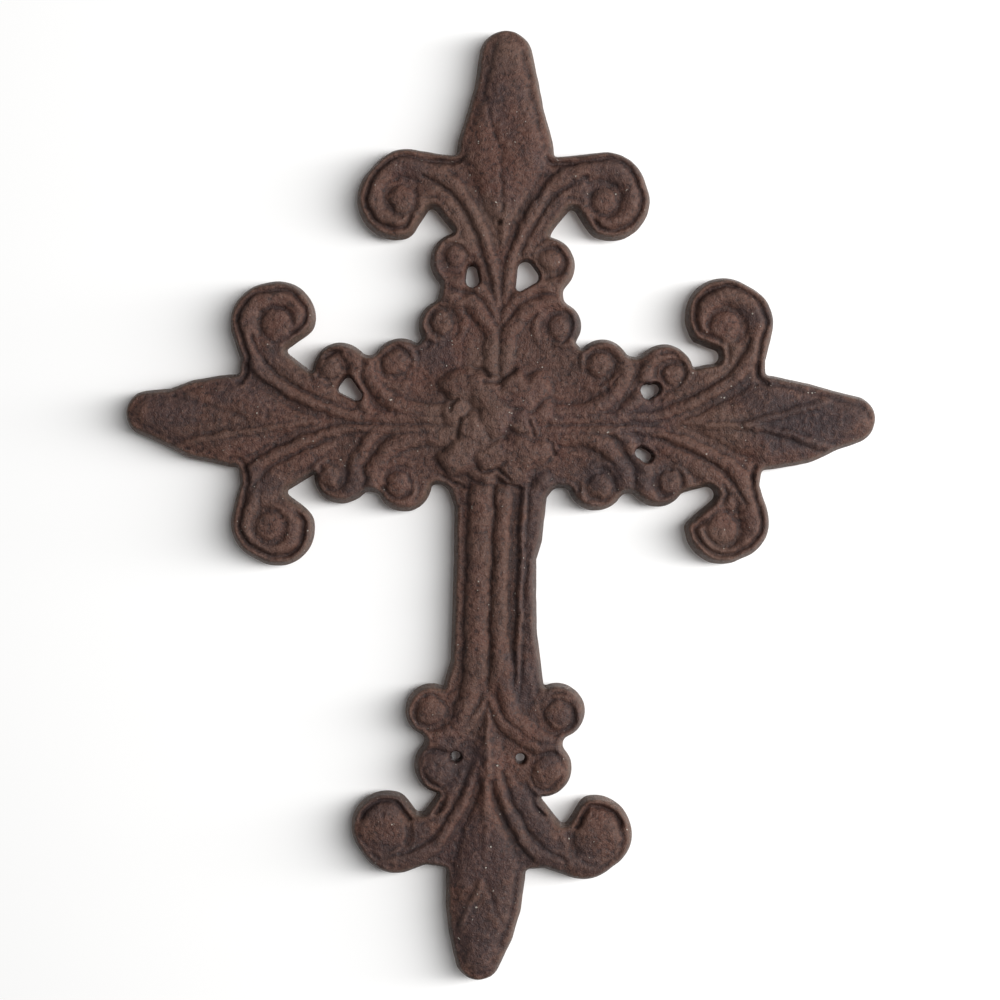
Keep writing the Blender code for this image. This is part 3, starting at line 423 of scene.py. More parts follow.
def raise_rib(height, u, v, rows):
    """Lift the surface to a rounded rib along the rows of (along, across, half-width, share of rise)."""
    rows = np.array(rows, float)
    margin = RIB_SPREAD * rows[:, 2].max()
    near = ((u > rows[:, 0].min() - margin) & (u < rows[:, 0].max() + margin)
            & (v > rows[:, 1].min() - margin) & (v < rows[:, 1].max() + margin))
    un, vn = u[near], v[near]
    best = np.zeros(un.shape)
    for start, end in zip(rows, rows[1:]):
        share, distance = along_segment(un, vn, start, end)
        half = RIB_SPREAD * (start[2] + share * (end[2] - start[2]))
        rise = start[3] + share * (end[3] - start[3])
        across = np.clip(1.0 - (distance / half) ** 2, 0.0, 1.0)
        best = np.maximum(best, RIB_RISE * rise * across**RIB_CREST)
    height[near] = np.maximum(height[near], best)


def cut_groove(height, u, v, points, half_width, depth):
    points = np.array(points, float)
    margin = 3.0 * half_width
    near = ((u > points[:, 0].min() - margin) & (u < points[:, 0].max() + margin)
            & (v > points[:, 1].min() - margin) & (v < points[:, 1].max() + margin))
    un, vn = u[near], v[near]
    nearest = np.full(un.shape, FAR)
    for start, end in zip(points, points[1:]):
        nearest = np.minimum(nearest, along_segment(un, vn, start, end)[1])
    height[near] -= depth * np.exp(-((nearest / half_width) ** 2))


def raise_button(height, u, v, button, rise, groove):
    """A flat-topped dome, given as (along, across, radius), with a groove round its foot."""
    radius = button[2]
    distance = np.hypot(u - button[0], v - button[1])
    near = distance < radius * 2.2
    dn = distance[near]
    dome = rise * np.clip(1.0 - (dn / radius) ** 3, 0.0, 1.0) ** 0.7
    height[near] = np.maximum(height[near], dome)
    height[near] -= groove * np.exp(-(((dn - radius * 1.12) / VEIN_HALF) ** 2))


def shifted(rows, along):
    """The same rows, moved along the arm."""
    return [(row[0] + along, *row[1:]) for row in rows]


def curl_relief(height, u, w, half, fluted_from):
    """One large curl: a stem that winds from the arm's middle round its eye, and the strip inside it."""
    eye, dome = half["eye"], half["dome"]
    wide = dome > WIDE_DOME
    reach = half["shoulder"][0] + half["shoulder"][2] - eye[0] - RIM_BAND
    turns = WIDE_CURL_TURN if wide else CURL_TURN
    wind = spiral(eye, (reach - CURL_RIB_INSET, dome + CURL_RIB_END), turns, CURL_RIB, CURL_RIB_SHARES, 20)
    stem = shifted(STEM, eye[0])
    if fluted_from:
        stem = [(fluted_from, FLUTE, *FLUTE_RIB[0]), (FLUTE_END, FLUTE, *FLUTE_RIB[1])] + stem[1:]
    elif wide:
        stem = stem[2:]
    raise_rib(height, u, w, smooth_path(stem + wind[:3]) + wind[3:])
    raise_rib(height, u, w, smooth_path(shifted(STRIP, eye[0])))
    raise_button(height, u, w, (*eye, dome), EYE_RISE, 0.6 * GROOVE_DEPTH)
    if wide:
        radii = [dome + clear for clear in DOME_ARC_CLEAR]
        arc = spiral(eye, radii, DOME_ARC_TURN, (1.0, 1.0), (1.0, 1.0))
        arc = [row[:2] for row in arc]
        cut_groove(height, u, w, arc, CREVICE_HALF, DOME_GROOVE_DEPTH)
    cut_groove(height, u, w, smooth_path(shifted(STRIP_GROOVE, eye[0])), GROOVE_HALF, GROOVE_DEPTH)
    cut_groove(height, u, w, smooth_path(shifted(LEAF_GROOVE, eye[0])), LEAF_GROOVE_HALF, LEAF_GROOVE_DEPTH)


def inner_rib(base, button, fluted_from, rib_root):
    """The rib of an inner scroll from the arm's middle to where it starts to wind."""
    if fluted_from:
        return [(fluted_from, rib_root, 2.0, 0.8), (base + 22.0, rib_root - 0.2, 2.1, 0.85),
                (base + 29.0, rib_root + 0.6, 2.2, 0.95), (base + 34.5, rib_root + 3.2, 2.2, 1.0)]
    if rib_root:
        return [(base + 10.0, rib_root, 2.9, 1.1), (base + 22.0, rib_root + 1.0, 2.8, 1.1),
                (base + 31.5, 7.4, 2.5, 1.1), (base + 37.8, button[1] - 8.6, 2.3, 1.0)]
    return shifted(INNER_RIB, base)


def scroll_relief(height, u, w, half, fluted_from, rib_root):
    """A pair of small scrolls, each a rib that bends out from the arm's middle and winds round a button."""
    button = half["inner_button"]
    base = button[0] - SCROLL_BASE
    rib = inner_rib(base, button, fluted_from, rib_root)
    wind = spiral(button, (INNER_WIND, button[2] + WIND_CLEAR), INNER_TURN, SCROLL_RIB, (1.0, 0.7), 16)
    raise_rib(height, u, w, smooth_path(rib + wind[:2]) + wind[2:])
    raise_button(height, u, w, button, BUTTON_RISE, GROOVE_DEPTH)
    if half["dome"] < WIDE_DOME:
        raise_rib(height, u, w, spiral(button, INNER_TRACE, INNER_TRACE_TURN, INNER_TRACE_RIB, (0.3, 0.6)))
    button = half["outer_button"]
    start = base if half["dome"] < WIDE_DOME else base - WIDE_RIB_SHIFT
    wind = spiral(button, (OUTER_WIND, button[2] + WIND_CLEAR), OUTER_TURN, SCROLL_RIB, (0.9, 0.7), 16)
    raise_rib(height, u, w, smooth_path(shifted(OUTER_RIB, start) + wind[:2]) + wind[2:])
    raise_button(height, u, w, button, BUTTON_RISE, GROOVE_DEPTH)


def crevice_share(x, y):
    """How strongly the crevice shows: round the outer side of the large curls, and faintly elsewhere."""
    total = np.full(x.shape, CREVICE_FAINT)
    for arm, parts in ARMS.items():
        u, v = arm_frame(x, y, arm)
        for side in (-1, 1):
            eye = parts[side]["eye"]
            du, dw = u - eye[0], v * side - eye[1]
            turn = (np.degrees(np.arctan2(dw, du)) + CREVICE_SEAM) % 360.0 - CREVICE_SEAM
            start, end = DOME_ARC_TURN if parts[side]["dome"] > WIDE_DOME else CREVICE_TURN
            window = smooth_step(turn, start, start + CREVICE_FADE[0])
            window *= 1.0 - smooth_step(turn, end - CREVICE_FADE[1], end)
            window *= 1.0 - smooth_step(np.hypot(du, dw), *CREVICE_REACH)
            total = np.maximum(total, window)
    return total


def leaf_relief(height, u, v, parts):
    """The leaf's blade: a low pad that rises from its margin, and draws to a point between the stems."""
    base = parts["leaf"][0]
    heel = (base[0] - LEAF_HEEL[0], base[1], base[2] - LEAF_HEEL[1])
    body = chain(u, v, (*parts["pad"], heel, *parts["leaf"]))
    share = np.clip((-body - LEAF_MARGIN) / LEAF_SLOPE, 0.0, 1.0)
    pad = LEAF_RISE * (1.0 - (1.0 - share) ** 2)
    for ridge in parts["ridges"]:
        line = np.zeros(u.shape)
        raise_rib(line, u, v, ridge)
        pad = pad + line
    height[:] = np.maximum(height, pad)


def relief(x, y):
    """Rise of the carving over the ground."""
    total = np.zeros(x.shape)
    for arm, parts in ARMS.items():
        u, v = arm_frame(x, y, arm)
        height = np.zeros(x.shape)
        leaf_relief(height, u, v, parts)
        for side in (-1, 1):
            curl_relief(height, u, v * side, parts[side], parts["fluted_from"])
            scroll_relief(height, u, v * side, parts[side], parts["fluted_from"], parts["rib_root"])
        for vein in parts["veins"]:
            cut_groove(height, u, v, vein, VEIN_HALF, VEIN_DEPTH)
        if parts["margin"]:
            cut_groove(height, u, v, smooth_path(parts["margin"]), MARGIN_HALF, MARGIN_DEPTH)
        total = np.where(np.abs(height) > np.abs(total), height, total)
    u, v = arm_frame(x, y, "bottom")
    shaft = shaft_relief(u, v)
    total = np.where(np.abs(shaft) > np.abs(total), shaft, total)
    total = np.maximum(total, rosette(x, y))
    for crevice in ROSETTE_CREVICES:
        cut_groove(total, x, y, crevice, ROSETTE_CREVICE_HALF, ROSETTE_CREVICE_DEPTH)
    return total


# The shaft's ridges: distance across it, half-width, and share of the full rise. Its grooves: distance across
# it, half-width, depth, and where along the shaft they end.
SHAFT_RIDGES = ((-12.6, 2.3, 0.45), (-9.2, 1.1, 0.75), (-2.8, 2.8, 1.0), (4.2, 4.0, 1.0))
SHAFT_GROOVES = ((-7.1, 1.3, 1.0, 84.0), (9.9, 1.1, 0.8, 60.0))
GROOVE_FADE = 14.0
SHAFT_FADE_IN = (1.0, 4.0)
SHAFT_FADE_OUT = (-8.0, 4.0)


def shaft_relief(u, v):
    height = np.zeros(u.shape)
    for middle, half, rise in SHAFT_RIDGES:
        crest = np.clip(1.0 - ((v - middle) / half) ** 2, 0.0, 1.0) ** 0.5
        height = np.maximum(height, SHAFT_RISE * rise * crest)
    for middle, half, depth, until in SHAFT_GROOVES:
        fade = 1.0 - smooth_step(u, until - GROOVE_FADE, until)
        height -= depth * fade * np.exp(-(((v - middle) / half) ** 2))
    start, end = SHAFT_EDGES[0][0][0], SHAFT_EDGES[0][-1][0]
    comes = smooth_step(u, *(start + step for step in SHAFT_FADE_IN))
    return height * comes * (1.0 - smooth_step(u, *(end + step for step in SHAFT_FADE_OUT)))


# The rosette's petals and folds, blurred by wear: place across and up, radius, and share of the full rise.
PETALS = (
    (-12.0, 12.6, 5.8, 0.72), (-3.6, 10.4, 6.6, 0.90), (6.0, 10.4, 6.8, 0.86), (12.6, 13.0, 5.0, 0.55),
    (-13.6, 4.6, 5.0, 0.66), (-8.0, -1.6, 5.8, 0.86), (0.2, 2.4, 6.2, 1.00), (9.0, 1.8, 5.8, 0.82),
    (14.2, 4.4, 4.6, 0.58), (-11.2, -9.6, 6.4, 0.78), (-1.6, -9.0, 6.2, 0.94), (7.4, -8.6, 6.8, 0.88),
    (13.4, -6.8, 5.0, 0.62), (-4.4, -15.2, 4.2, 0.68), (5.0, -14.8, 4.8, 0.68), (14.0, -17.0, 3.4, 0.40),
)
BODY_SHARE = 0.7
BODY_REACH = 1.12
BODY_RUN = 4.4
PETAL_MERGE = 4.0
PETAL_TILT = 0.30
TILT_STEP = 2.4
WAVE = 0.7
WAVE_LENGTH = 13.0

# The sharp crevices in and round the rosette: places across and up the cross.
ROSETTE_CREVICES = (
    ((-4.5, 14.0), (-1.0, 14.0), (2.5, 15.6), (5.0, 18.6)), ((-8.0, 18.2), (-5.5, 18.0), (-3.2, 16.2)),
    ((-6.4, -13.4), (-4.6, -14.8), (0.5, -13.8), (4.8, -16.8)), ((1.5, -17.4), (5.0, -18.6), (9.0, -19.6)),
    ((-11.6, 2.0), (-12.4, -3.8)), ((-15.4, 4.4), (-15.2, 6.4), (-13.0, 8.4)), ((10.2, 2.0), (12.0, -2.4)),
    ((15.6, -3.8), (17.4, -5.2), (18.6, -8.0)), ((-17.0, -16.4), (-10.0, -19.6)),
)
ROSETTE_CREVICE_HALF = 0.6
ROSETTE_CREVICE_DEPTH = 1.3


def rosette(x, y):
    """A blurred flower: rumpled petals, each tilted its own way, that swell a little out of one low body."""
    turn = 2.0 * np.pi / WAVE_LENGTH
    wx = x + WAVE * np.sin(turn * y + 1.0) + 0.5 * WAVE * np.sin(turn * (1.7 * y + x))
    wy = y + WAVE * np.sin(turn * x + 2.2) + 0.5 * WAVE * np.sin(turn * (1.9 * x - y) + 0.7)
    body = np.zeros(x.shape)
    swell = np.zeros(x.shape)
    for index, (px, py, radius, rise) in enumerate(PETALS):
        share = np.hypot(wx - px, wy - py) / radius
        towards = np.cos(np.arctan2(wy - py, wx - px) - TILT_STEP * index)
        tilt = 1.0 + PETAL_TILT * towards * np.clip(share, 0.0, 1.0)
        draft = np.clip((BODY_REACH - share) * radius / BODY_RUN, 0.0, 1.0)
        body += (rise ** 0.5 * (1.0 - (1.0 - draft) ** 2)) ** PETAL_MERGE
        swell += (rise * tilt * (1.0 - np.clip(share, 0.0, 1.0) ** 3)) ** PETAL_MERGE
    body, swell = body ** (1.0 / PETAL_MERGE), swell ** (1.0 / PETAL_MERGE)
    return PETAL_RISE * (BODY_SHARE * body + (1.0 - BODY_SHARE) * swell)


def wall(inside):
    """Height of the drafted wall by the distance in from the outline."""
    return WALL_TOP * (1.0 - np.exp(-inside / WALL_RUN))


def nearest(x, y, points, chunk=4000):
    """Distance from each place to the nearest of the points."""
    result = np.empty(x.shape)
    px, py = points[:, 0].astype(np.float32), points[:, 1].astype(np.float32)
    for start in range(0, len(x), chunk):
        part = slice(start, start + chunk)
        dx = x[part, None].astype(np.float32) - px
        dy = y[part, None].astype(np.float32) - py
        result[part] = np.sqrt((dx * dx + dy * dy).min(axis=1))
    return result


def surface(x, y, rim, holes):
    """Height of the front over the flat back; rim and holes are points on the outline and on the holes."""
    inside = nearest(x, y, rim)
    height = blend_min(wall(inside), GROUND_HEIGHT + relief(x, y), SHOULDER)
    crevice = np.exp(-(((inside - CREVICE_INSET) / CREVICE_HALF) ** 2))
    height = height - CREVICE_DEPTH * crevice * crevice_share(x, y)
    lip = np.clip(nearest(x, y, holes) / HOLE_RUN, 0.0, 1.0)
    return height * (1.0 - (1.0 - lip) ** 1.8)


# The surface is sampled at this spacing, and the sampling grid reaches this far past the tips.
SAMPLE_SPACING = 0.53
GRID_MARGIN = 4.0

# The sand-cast skin, how far the carving wanders sideways, and the uneven edge: wavelength and size.
SKIN_LAYERS = ((9.0, 0.16), (3.4, 0.13), (1.4, 0.17))
WANDER_LAYERS = ((4.2, 0.36), (1.7, 0.26))
EDGE_LAYERS = ((9.0, 0.20), (2.6, 0.08))
RAGGED_LAYERS = ((4.0, 0.35), (1.7, 0.25))
LATTICE = 64
EDGE_BAND = 2.2
EDGE_SEED = 11
SKIN_SEED = 23
RAGGED_SEED = 41
WANDER_SEEDS = (71, 83)

# How the samples near the edge are moved onto it: how near, by which step its slope is read, the least slope
# allowed for, and how often it is done.
EASE_SHARE = 0.32
SLOPE_STEP = 0.05
LEAST_SLOPE = 0.25
EASE_ROUNDS = 3

# Where the wander and the shading start and are full, by the distance in from an edge, and the least height.
WANDER_CLEAR = (0.5, 2.5)
SHADE_CLEAR = (0.5, 1.4)
RIM_START = 0.6
LEAST_HEIGHT = 0.3

# How often the height is averaged for the material's shading, and the difference at which each is full.
SMOOTH_ROUNDS = (3, 6, 40)
CREVICE_FULL = 0.17
CREST_FULL = 0.12
HOLLOW_FULL = 0.9
PATCH_EDGE = (-1.15, -0.55)

# A pinhole in the top arm: place along and across the arm, radius and depth.
PINHOLE = (64.8, -1.3, 0.8, 2.2)

# Patches of darker, purplish scale: place across and up the cross, half-sizes, and strength.
DARK_PATCHES = (
    (97.0, 3.0, 18.0, 9.0, 1.0), (82.0, 12.0, 10.0, 8.0, 0.6), (26.0, 32.0, 6.0, 6.0, 1.0),
    (40.0, -14.0, 18.0, 6.0, 0.9), (56.0, -22.0, 6.0, 6.0, 0.6), (85.0, 38.0, 7.0, 5.0, 0.9),
    (-35.0, -137.0, 9.0, 7.0, 0.6), (33.0, -137.0, 8.0, 7.0, 0.6), (-60.0, -18.0, 5.0, 6.0, 0.5),
    (-32.0, 82.0, 9.0, 5.0, 0.5), (36.0, 83.0, 9.0, 6.0, 0.5), (-66.0, 44.0, 8.0, 5.0, 0.5),
    (20.0, -102.0, 5.0, 6.0, 0.7), (12.0, -20.0, 5.0, 6.0, 0.6), (-4.0, 108.0, 6.0, 14.0, 0.4),
    (-88.0, 10.0, 8.0, 6.0, 0.4), (86.0, -28.0, 6.0, 8.0, 0.4), (6.0, -150.0, 6.0, 8.0, 0.5),
    (13.0, -45.0, 6.0, 26.0, 0.8), (12.0, -80.0, 7.0, 12.0, 0.9), (-23.0, 23.0, 11.0, 6.0, 0.7),
    (18.0, -21.0, 13.0, 7.0, 0.8), (-104.0, 2.0, 12.0, 9.0, 0.6), (-74.0, -20.0, 8.0, 6.0, 0.5),
    (-45.0, -20.0, 7.0, 6.0, 0.8), (13.0, -121.0, 8.0, 9.0, 0.9), (0.0, -137.0, 38.0, 11.0, 0.7),
    (-12.0, -108.0, 14.0, 9.0, 0.8), (-31.0, -121.0, 8.0, 6.0, 0.8), (-2.0, -164.0, 10.0, 12.0, 0.7),
    (106.0, 7.0, 14.0, 7.0, 0.8), (27.0, -92.0, 6.0, 6.0, 0.8),
)

# Rubbed, paler places, in the same form.
PALE_PATCHES = (
    (-9.0, 1.0, 15.0, 12.0, 0.8), (-15.0, 64.0, 19.0, 11.0, 0.8), (10.0, 52.0, 8.0, 8.0, 0.6),
    (70.0, 24.0, 7.0, 7.0, 1.0), (70.0, 1.0, 14.0, 8.0, 0.6), (70.0, -35.0, 7.0, 7.0, 0.7),
    (-2.0, 118.0, 6.0, 9.0, 0.6), (-16.0, -77.0, 6.0, 7.0, 0.4), (-2.0, 22.0, 8.0, 8.0, 0.6),
)

# The photograph's frame: its width at the cross, the lean of the cross in it, and the distance to the camera.
FRAME_WIDTH = 0.320
FRAME_PIXELS = 1000
MIDDLE_PIXEL = (497.0, 427.0)
LEAN = math.radians(1.75)
CAMERA_DISTANCE = 0.80
SENSOR_WIDTH = 36.0

# The wall behind the cross, in metres: its side, and how far behind the cross's back it stands.
WALL_SIZE = 3.0
WALL_GAP = 0.0055
WALL_WHITE = (0.92, 0.92, 0.92, 1.0)

# The lights, which all point at the cross: place, size across and up, power and colour.
LIGHTS = {
    "key": ((1.0, -0.95, 0.12), (2.2, 0.45), 41.0, (1.0, 0.997, 0.99)),
    "back": ((0.5, 1.0, 0.4), (0.8, 0.8), 9.0, (1.0, 1.0, 1.0)),
}
LIGHT_TARGET = (0.0, 0.0, -0.02)
SURROUND_LIGHT = 0.17


def value_noise(x, y, length, seed):
    """Smooth random values between -1 and 1 that change over the given length."""
    lattice = np.random.default_rng(seed).uniform(-1.0, 1.0, (LATTICE, LATTICE))
    u, v = x / length + 0.37 * seed, y / length + 0.71 * seed
    column, row = np.floor(u).astype(int), np.floor(v).astype(int)
    s, t = u - column, v - row
    s, t = s * s * (3.0 - 2.0 * s), t * t * (3.0 - 2.0 * t)
    left, right = column % LATTICE, (column + 1) % LATTICE
    low, high = row % LATTICE, (row + 1) % LATTICE
    below = lattice[low, left] + s * (lattice[low, right] - lattice[low, left])
    above = lattice[high, left] + s * (lattice[high, right] - lattice[high, left])
    return below + t * (above - below)


def layered_noise(x, y, layers, seed):
    return sum(depth * value_noise(x, y, length, seed + i) for i, (length, depth) in enumerate(layers))


def metal(x, y):
    """Distance to the edge of the metal, holes counted, negative on metal."""
    return np.maximum(outline(x, y) + layered_noise(x, y, EDGE_LAYERS, EDGE_SEED), -hole_outline(x, y))


def ease_onto_edge(x, y, field, spacing):
    """Move the samples that nearly touch the edge exactly onto it, so that no sliver is cut there."""
    value = field(x, y)
    near = np.abs(value) < EASE_SHARE * spacing
    step = SLOPE_STEP
    for _ in range(EASE_ROUNDS):
        px, py = x[near], y[near]
        here = field(px, py)
        slope_x = (field(px + step, py) - field(px - step, py)) / (2.0 * step)
        slope_y = (field(px, py + step) - field(px, py - step)) / (2.0 * step)
        steep = np.maximum(slope_x**2 + slope_y**2, LEAST_SLOPE)
        x[near] = px - here * slope_x / steep
        y[near] = py - here * slope_y / steep
    value[near] = 0.0
    return value


def cut_grid(field, spacing, reach):
    """Triangles that fill the region where the field is negative, and which points lie on its edge."""
    left, right, low, high = reach
    columns = np.arange(left, right + spacing, spacing)
    rows = np.arange(low, high + spacing, spacing)
    x, y = (values.ravel() for values in np.meshgrid(columns, rows))
    value = ease_onto_edge(x, y, field, spacing)
    index = np.arange(x.size).reshape(len(rows), len(columns))
    a, b = index[:-1, :-1].ravel(), index[:-1, 1:].ravel()
    c, d = index[1:, 1:].ravel(), index[1:, :-1].ravel()
    even = (np.add.outer(np.arange(len(rows) - 1), np.arange(len(columns) - 1)) % 2 == 0).ravel()
    first = np.where(even[:, None], np.stack((a, b, c), 1), np.stack((a, b, d), 1))
    second = np.where(even[:, None], np.stack((a, c, d), 1), np.stack((b, c, d), 1))
    corners = np.vstack((first, second))
    inside = (value[corners] < 0.0).any(axis=1)
    outside = (value[corners] > 0.0).any(axis=1)
    faces = [tuple(row) for row in corners[inside & ~outside]]
    points = list(zip(x, y))
    on_edge = list(value == 0.0)
    cuts = {}

    def crossing(start, end):
        key = (min(start, end), max(start, end))
        if key not in cuts:
            share = value[start] / (value[start] - value[end])
            cuts[key] = len(points)
            points.append((x[start] + share * (x[end] - x[start]), y[start] + share * (y[end] - y[start])))
            on_edge.append(True)
        return cuts[key]

    for row in corners[inside & outside]:
        polygon = []
        for start, end in zip(row, np.roll(row, -1)):
            if value[start] <= 0.0:
                polygon.append(start)
            if value[start] * value[end] < 0.0:
                polygon.append(crossing(start, end))
        faces.extend((polygon[0], p, q) for p, q in zip(polygon[1:], polygon[2:]))
    faces = np.array(faces)
    used = np.unique(faces)
    renumber = np.zeros(len(points), int)
    renumber[used] = np.arange(len(used))
    return np.array(points)[used], renumber[faces], np.array(on_edge)[used]


def skin(points):
    """Unevenness of the sand-cast skin, with the pinhole."""
    x, y = points.T
    height = layered_noise(x, y, SKIN_LAYERS, SKIN_SEED)
    u, v = arm_frame(x, y, "top")
    along, across, radius, depth = PINHOLE
    return height - depth * np.exp(-(np.hypot(u - along, v - across) / radius) ** 4)


def smoothed(values, edges, rounds):
    """Values averaged with those of their neighbours, this many times over."""
    count = np.bincount(edges.ravel(), minlength=len(values)) + 1.0
    for _ in range(rounds):
        total = values.copy()
        total += np.bincount(edges[:, 0], values[edges[:, 1]], len(values))
        total += np.bincount(edges[:, 1], values[edges[:, 0]], len(values))
        values = total / count
    return values


def patch_strength(x, y, patches):
    """How strongly the patches lie over each place, ragged at their edges."""
    ragged = layered_noise(x, y, RAGGED_LAYERS, RAGGED_SEED)
    strength = np.zeros(x.shape)
    for px, py, across, up, full in patches:
        reach = np.hypot((x - px) / across, (y - py) / up) + ragged
        strength = np.maximum(strength, full * smooth_step(-reach, *PATCH_EDGE))
    return strength


def add_values(mesh, name, values):
    """Store one number for each point of the mesh, for the material to read."""
    layer = mesh.attributes.new(name, "FLOAT", "POINT")
    layer.data.foreach_set("value", values.astype(np.float32))


def cast_relief():
    """The cross's front as a fine mesh, with its values for the material; close_back fills its flat back."""
    tips = [arm["leaf"][-1][0] + arm["leaf"][-1][2] + GRID_MARGIN for arm in ARMS.values()]
    top, left, bottom, right = tips
    points, faces, on_edge = cut_grid(metal, SAMPLE_SPACING, (-left, right, -bottom, top))
    edge_points = points[on_edge]
    in_hole = hole_outline(*edge_points.T) < 0.5 * HOLE_RUN
    inside = nearest(*points.T, edge_points[~in_hole])
    clear = np.minimum(inside, nearest(*points.T, edge_points[in_hole]))
    loose = smooth_step(clear, *WANDER_CLEAR)
    wander = np.stack([loose * layered_noise(*points.T, WANDER_LAYERS, seed) for seed in WANDER_SEEDS])
    height = surface(*(points.T + wander), edge_points[~in_hole], edge_points[in_hole])
    height = height + skin(points) * smooth_step(inside, 0.0, EDGE_BAND)
    rise = np.where(on_edge, 0.0, np.maximum(height, LEAST_HEIGHT))

    mesh = bpy.data.meshes.new("cast_cross")
    corners = np.column_stack((points[:, 0], -rise, points[:, 1])) * MM
    mesh.from_pydata(corners.tolist(), [], faces.tolist())
    mesh.update()
    edges = np.empty(len(mesh.edges) * 2, np.int32)
    mesh.edges.foreach_get("vertices", edges)
    edges = edges.reshape(-1, 2)
    near, fine, broad = (smoothed(height, edges, rounds) for rounds in SMOOTH_ROUNDS)
    off_edge = smooth_step(clear, *SHADE_CLEAR)
    # crevice: painted shade, partly soot, where the surface lies below its near average.
    add_values(mesh, "crevice", np.clip((near - height) / CREVICE_FULL, 0.0, 1.0) * off_edge)
    add_values(mesh, "crest", np.clip((height - near) / CREST_FULL, 0.0, 1.0) * off_edge)
    # hollow: painted shade in broad hollows, and a painted highlight on broad raised parts.
    add_values(mesh, "hollow", smoothed(np.clip((broad - fine) / HOLLOW_FULL, -1.0, 1.0), edges, 2))
    # rim: a painted highlight along the outline's sloped wall.
    add_values(mesh, "rim", 1.0 - smooth_step(inside, RIM_START, EDGE_BAND))
    add_values(mesh, "patch", patch_strength(*points.T, DARK_PATCHES))
    add_values(mesh, "pale", patch_strength(*points.T, PALE_PATCHES))
    return mesh


def close_back(mesh):
    """Lay the front's free edge exactly on the back's plane and fill the flat back within it."""
    solid = bmesh.new()
    solid.from_mesh(mesh)
    rim = [edge for edge in solid.edges if edge.is_boundary]
    for edge in rim:
        for corner in edge.verts:
            corner.co.y = 0.0
    back = bmesh.ops.triangle_fill(solid, use_beauty=True, edges=rim, normal=(0.0, 1.0, 0.0))
    bmesh.ops.recalc_face_normals(solid, faces=solid.faces)
    flat = {face for face in back["geom"] if isinstance(face, bmesh.types.BMFace)}
    for face in solid.faces:
        face.smooth = face not in flat
    for edge in rim:
        edge.smooth = False
    solid.to_mesh(mesh)
    solid.free()


class Nodes:
    """Short calls for building a material's nodes."""

    def __init__(self, material):
        material.use_nodes = True
        self.tree = material.node_tree
        self.shader = self.tree.nodes["Principled BSDF"]

    def add(self, kind, inputs=(), **settings):
        node = self.tree.nodes.new(kind)
        for key, value in settings.items():
            setattr(node, key, value)
        for key, value in dict(inputs).items():
            self.feed(node, key, value)
        return node

    def feed(self, node, key, value):
        if isinstance(value, bpy.types.NodeSocket):
            self.tree.links.new(value, node.inputs[key])
        else:
            node.inputs[key].default_value = value

    def value(self, name):
        return self.add("ShaderNodeAttribute", attribute_name=name).outputs["Fac"]

    def noise(self, place, length, detail, roughness):
        """Noise between 0 and 1 whose features are about this many metres long."""
        inputs = {"Vector": place, "Scale": 1.0 / length, "Detail": detail, "Roughness": roughness}
        return self.add("ShaderNodeTexNoise", inputs).outputs["Fac"]

    def span(self, value, low, high, to_low, to_high):
        inputs = {"Value": value, "From Min": low, "From Max": high, "To Min": to_low, "To Max": to_high}
        return self.add("ShaderNodeMapRange", inputs).outputs["Result"]

    def math(self, operation, *values):
        node = self.add("ShaderNodeMath", operation=operation)
        for slot, value in enumerate(values):
            self.feed(node, slot, value)
        return node.outputs[0]

    def blend(self, share, first, second):
        node = self.add("ShaderNodeMix", data_type="RGBA")
        self.feed(node, 0, share)
        self.feed(node, 6, first)
        self.feed(node, 7, second)
        return node.outputs[2]


# The iron's colours, in linear light.
BROWN = (0.055, 0.0245, 0.0175, 1.0)
RED_BROWN = (0.078, 0.029, 0.0195, 1.0)
# Tan: rust in the light specks, and a painted highlight on broad raised parts.
TAN_AND_HIGHLIGHT = (0.114, 0.059, 0.044, 1.0)
PURPLE = (0.031, 0.019, 0.023, 1.0)
SCALE = (0.016, 0.010, 0.012, 1.0)
RUBBED = (0.105, 0.058, 0.043, 1.0)
WORN = (0.125, 0.073, 0.054, 1.0)
# Soot-black: soot in the dark specks, and painted shade in the crevices and hollows.
SOOT_AND_SHADE = (0.014, 0.007, 0.007, 1.0)
# Painted glints: tiny near-white spots that stand for specks catching the light.
PAINTED_GLINT = (0.34, 0.31, 0.27, 1.0)
# A painted highlight along the outline's sloped wall.
EDGE_HIGHLIGHT = (0.110, 0.074, 0.052, 1.0)

# The noise that breaks up the finish: feature length in metres, detail and roughness.
NOISES = {
    "blotch": (0.016, 3.0, 0.55),
    "cloud": (0.030, 4.0, 0.7),
    "mottle": (0.0035, 3.0, 0.65),
    "grain": (0.0015, 2.0, 0.75),
    "grit": (0.0005, 1.0, 0.6),
    # Where the painted glints lie.
    "painted_glint": (0.0013, 1.0, 0.5),
    "lump": (0.0026, 3.0, 0.6),
}

# The values that the mesh carries from point to point.
CARRIED = ("crevice", "crest", "hollow", "rim", "patch", "pale")

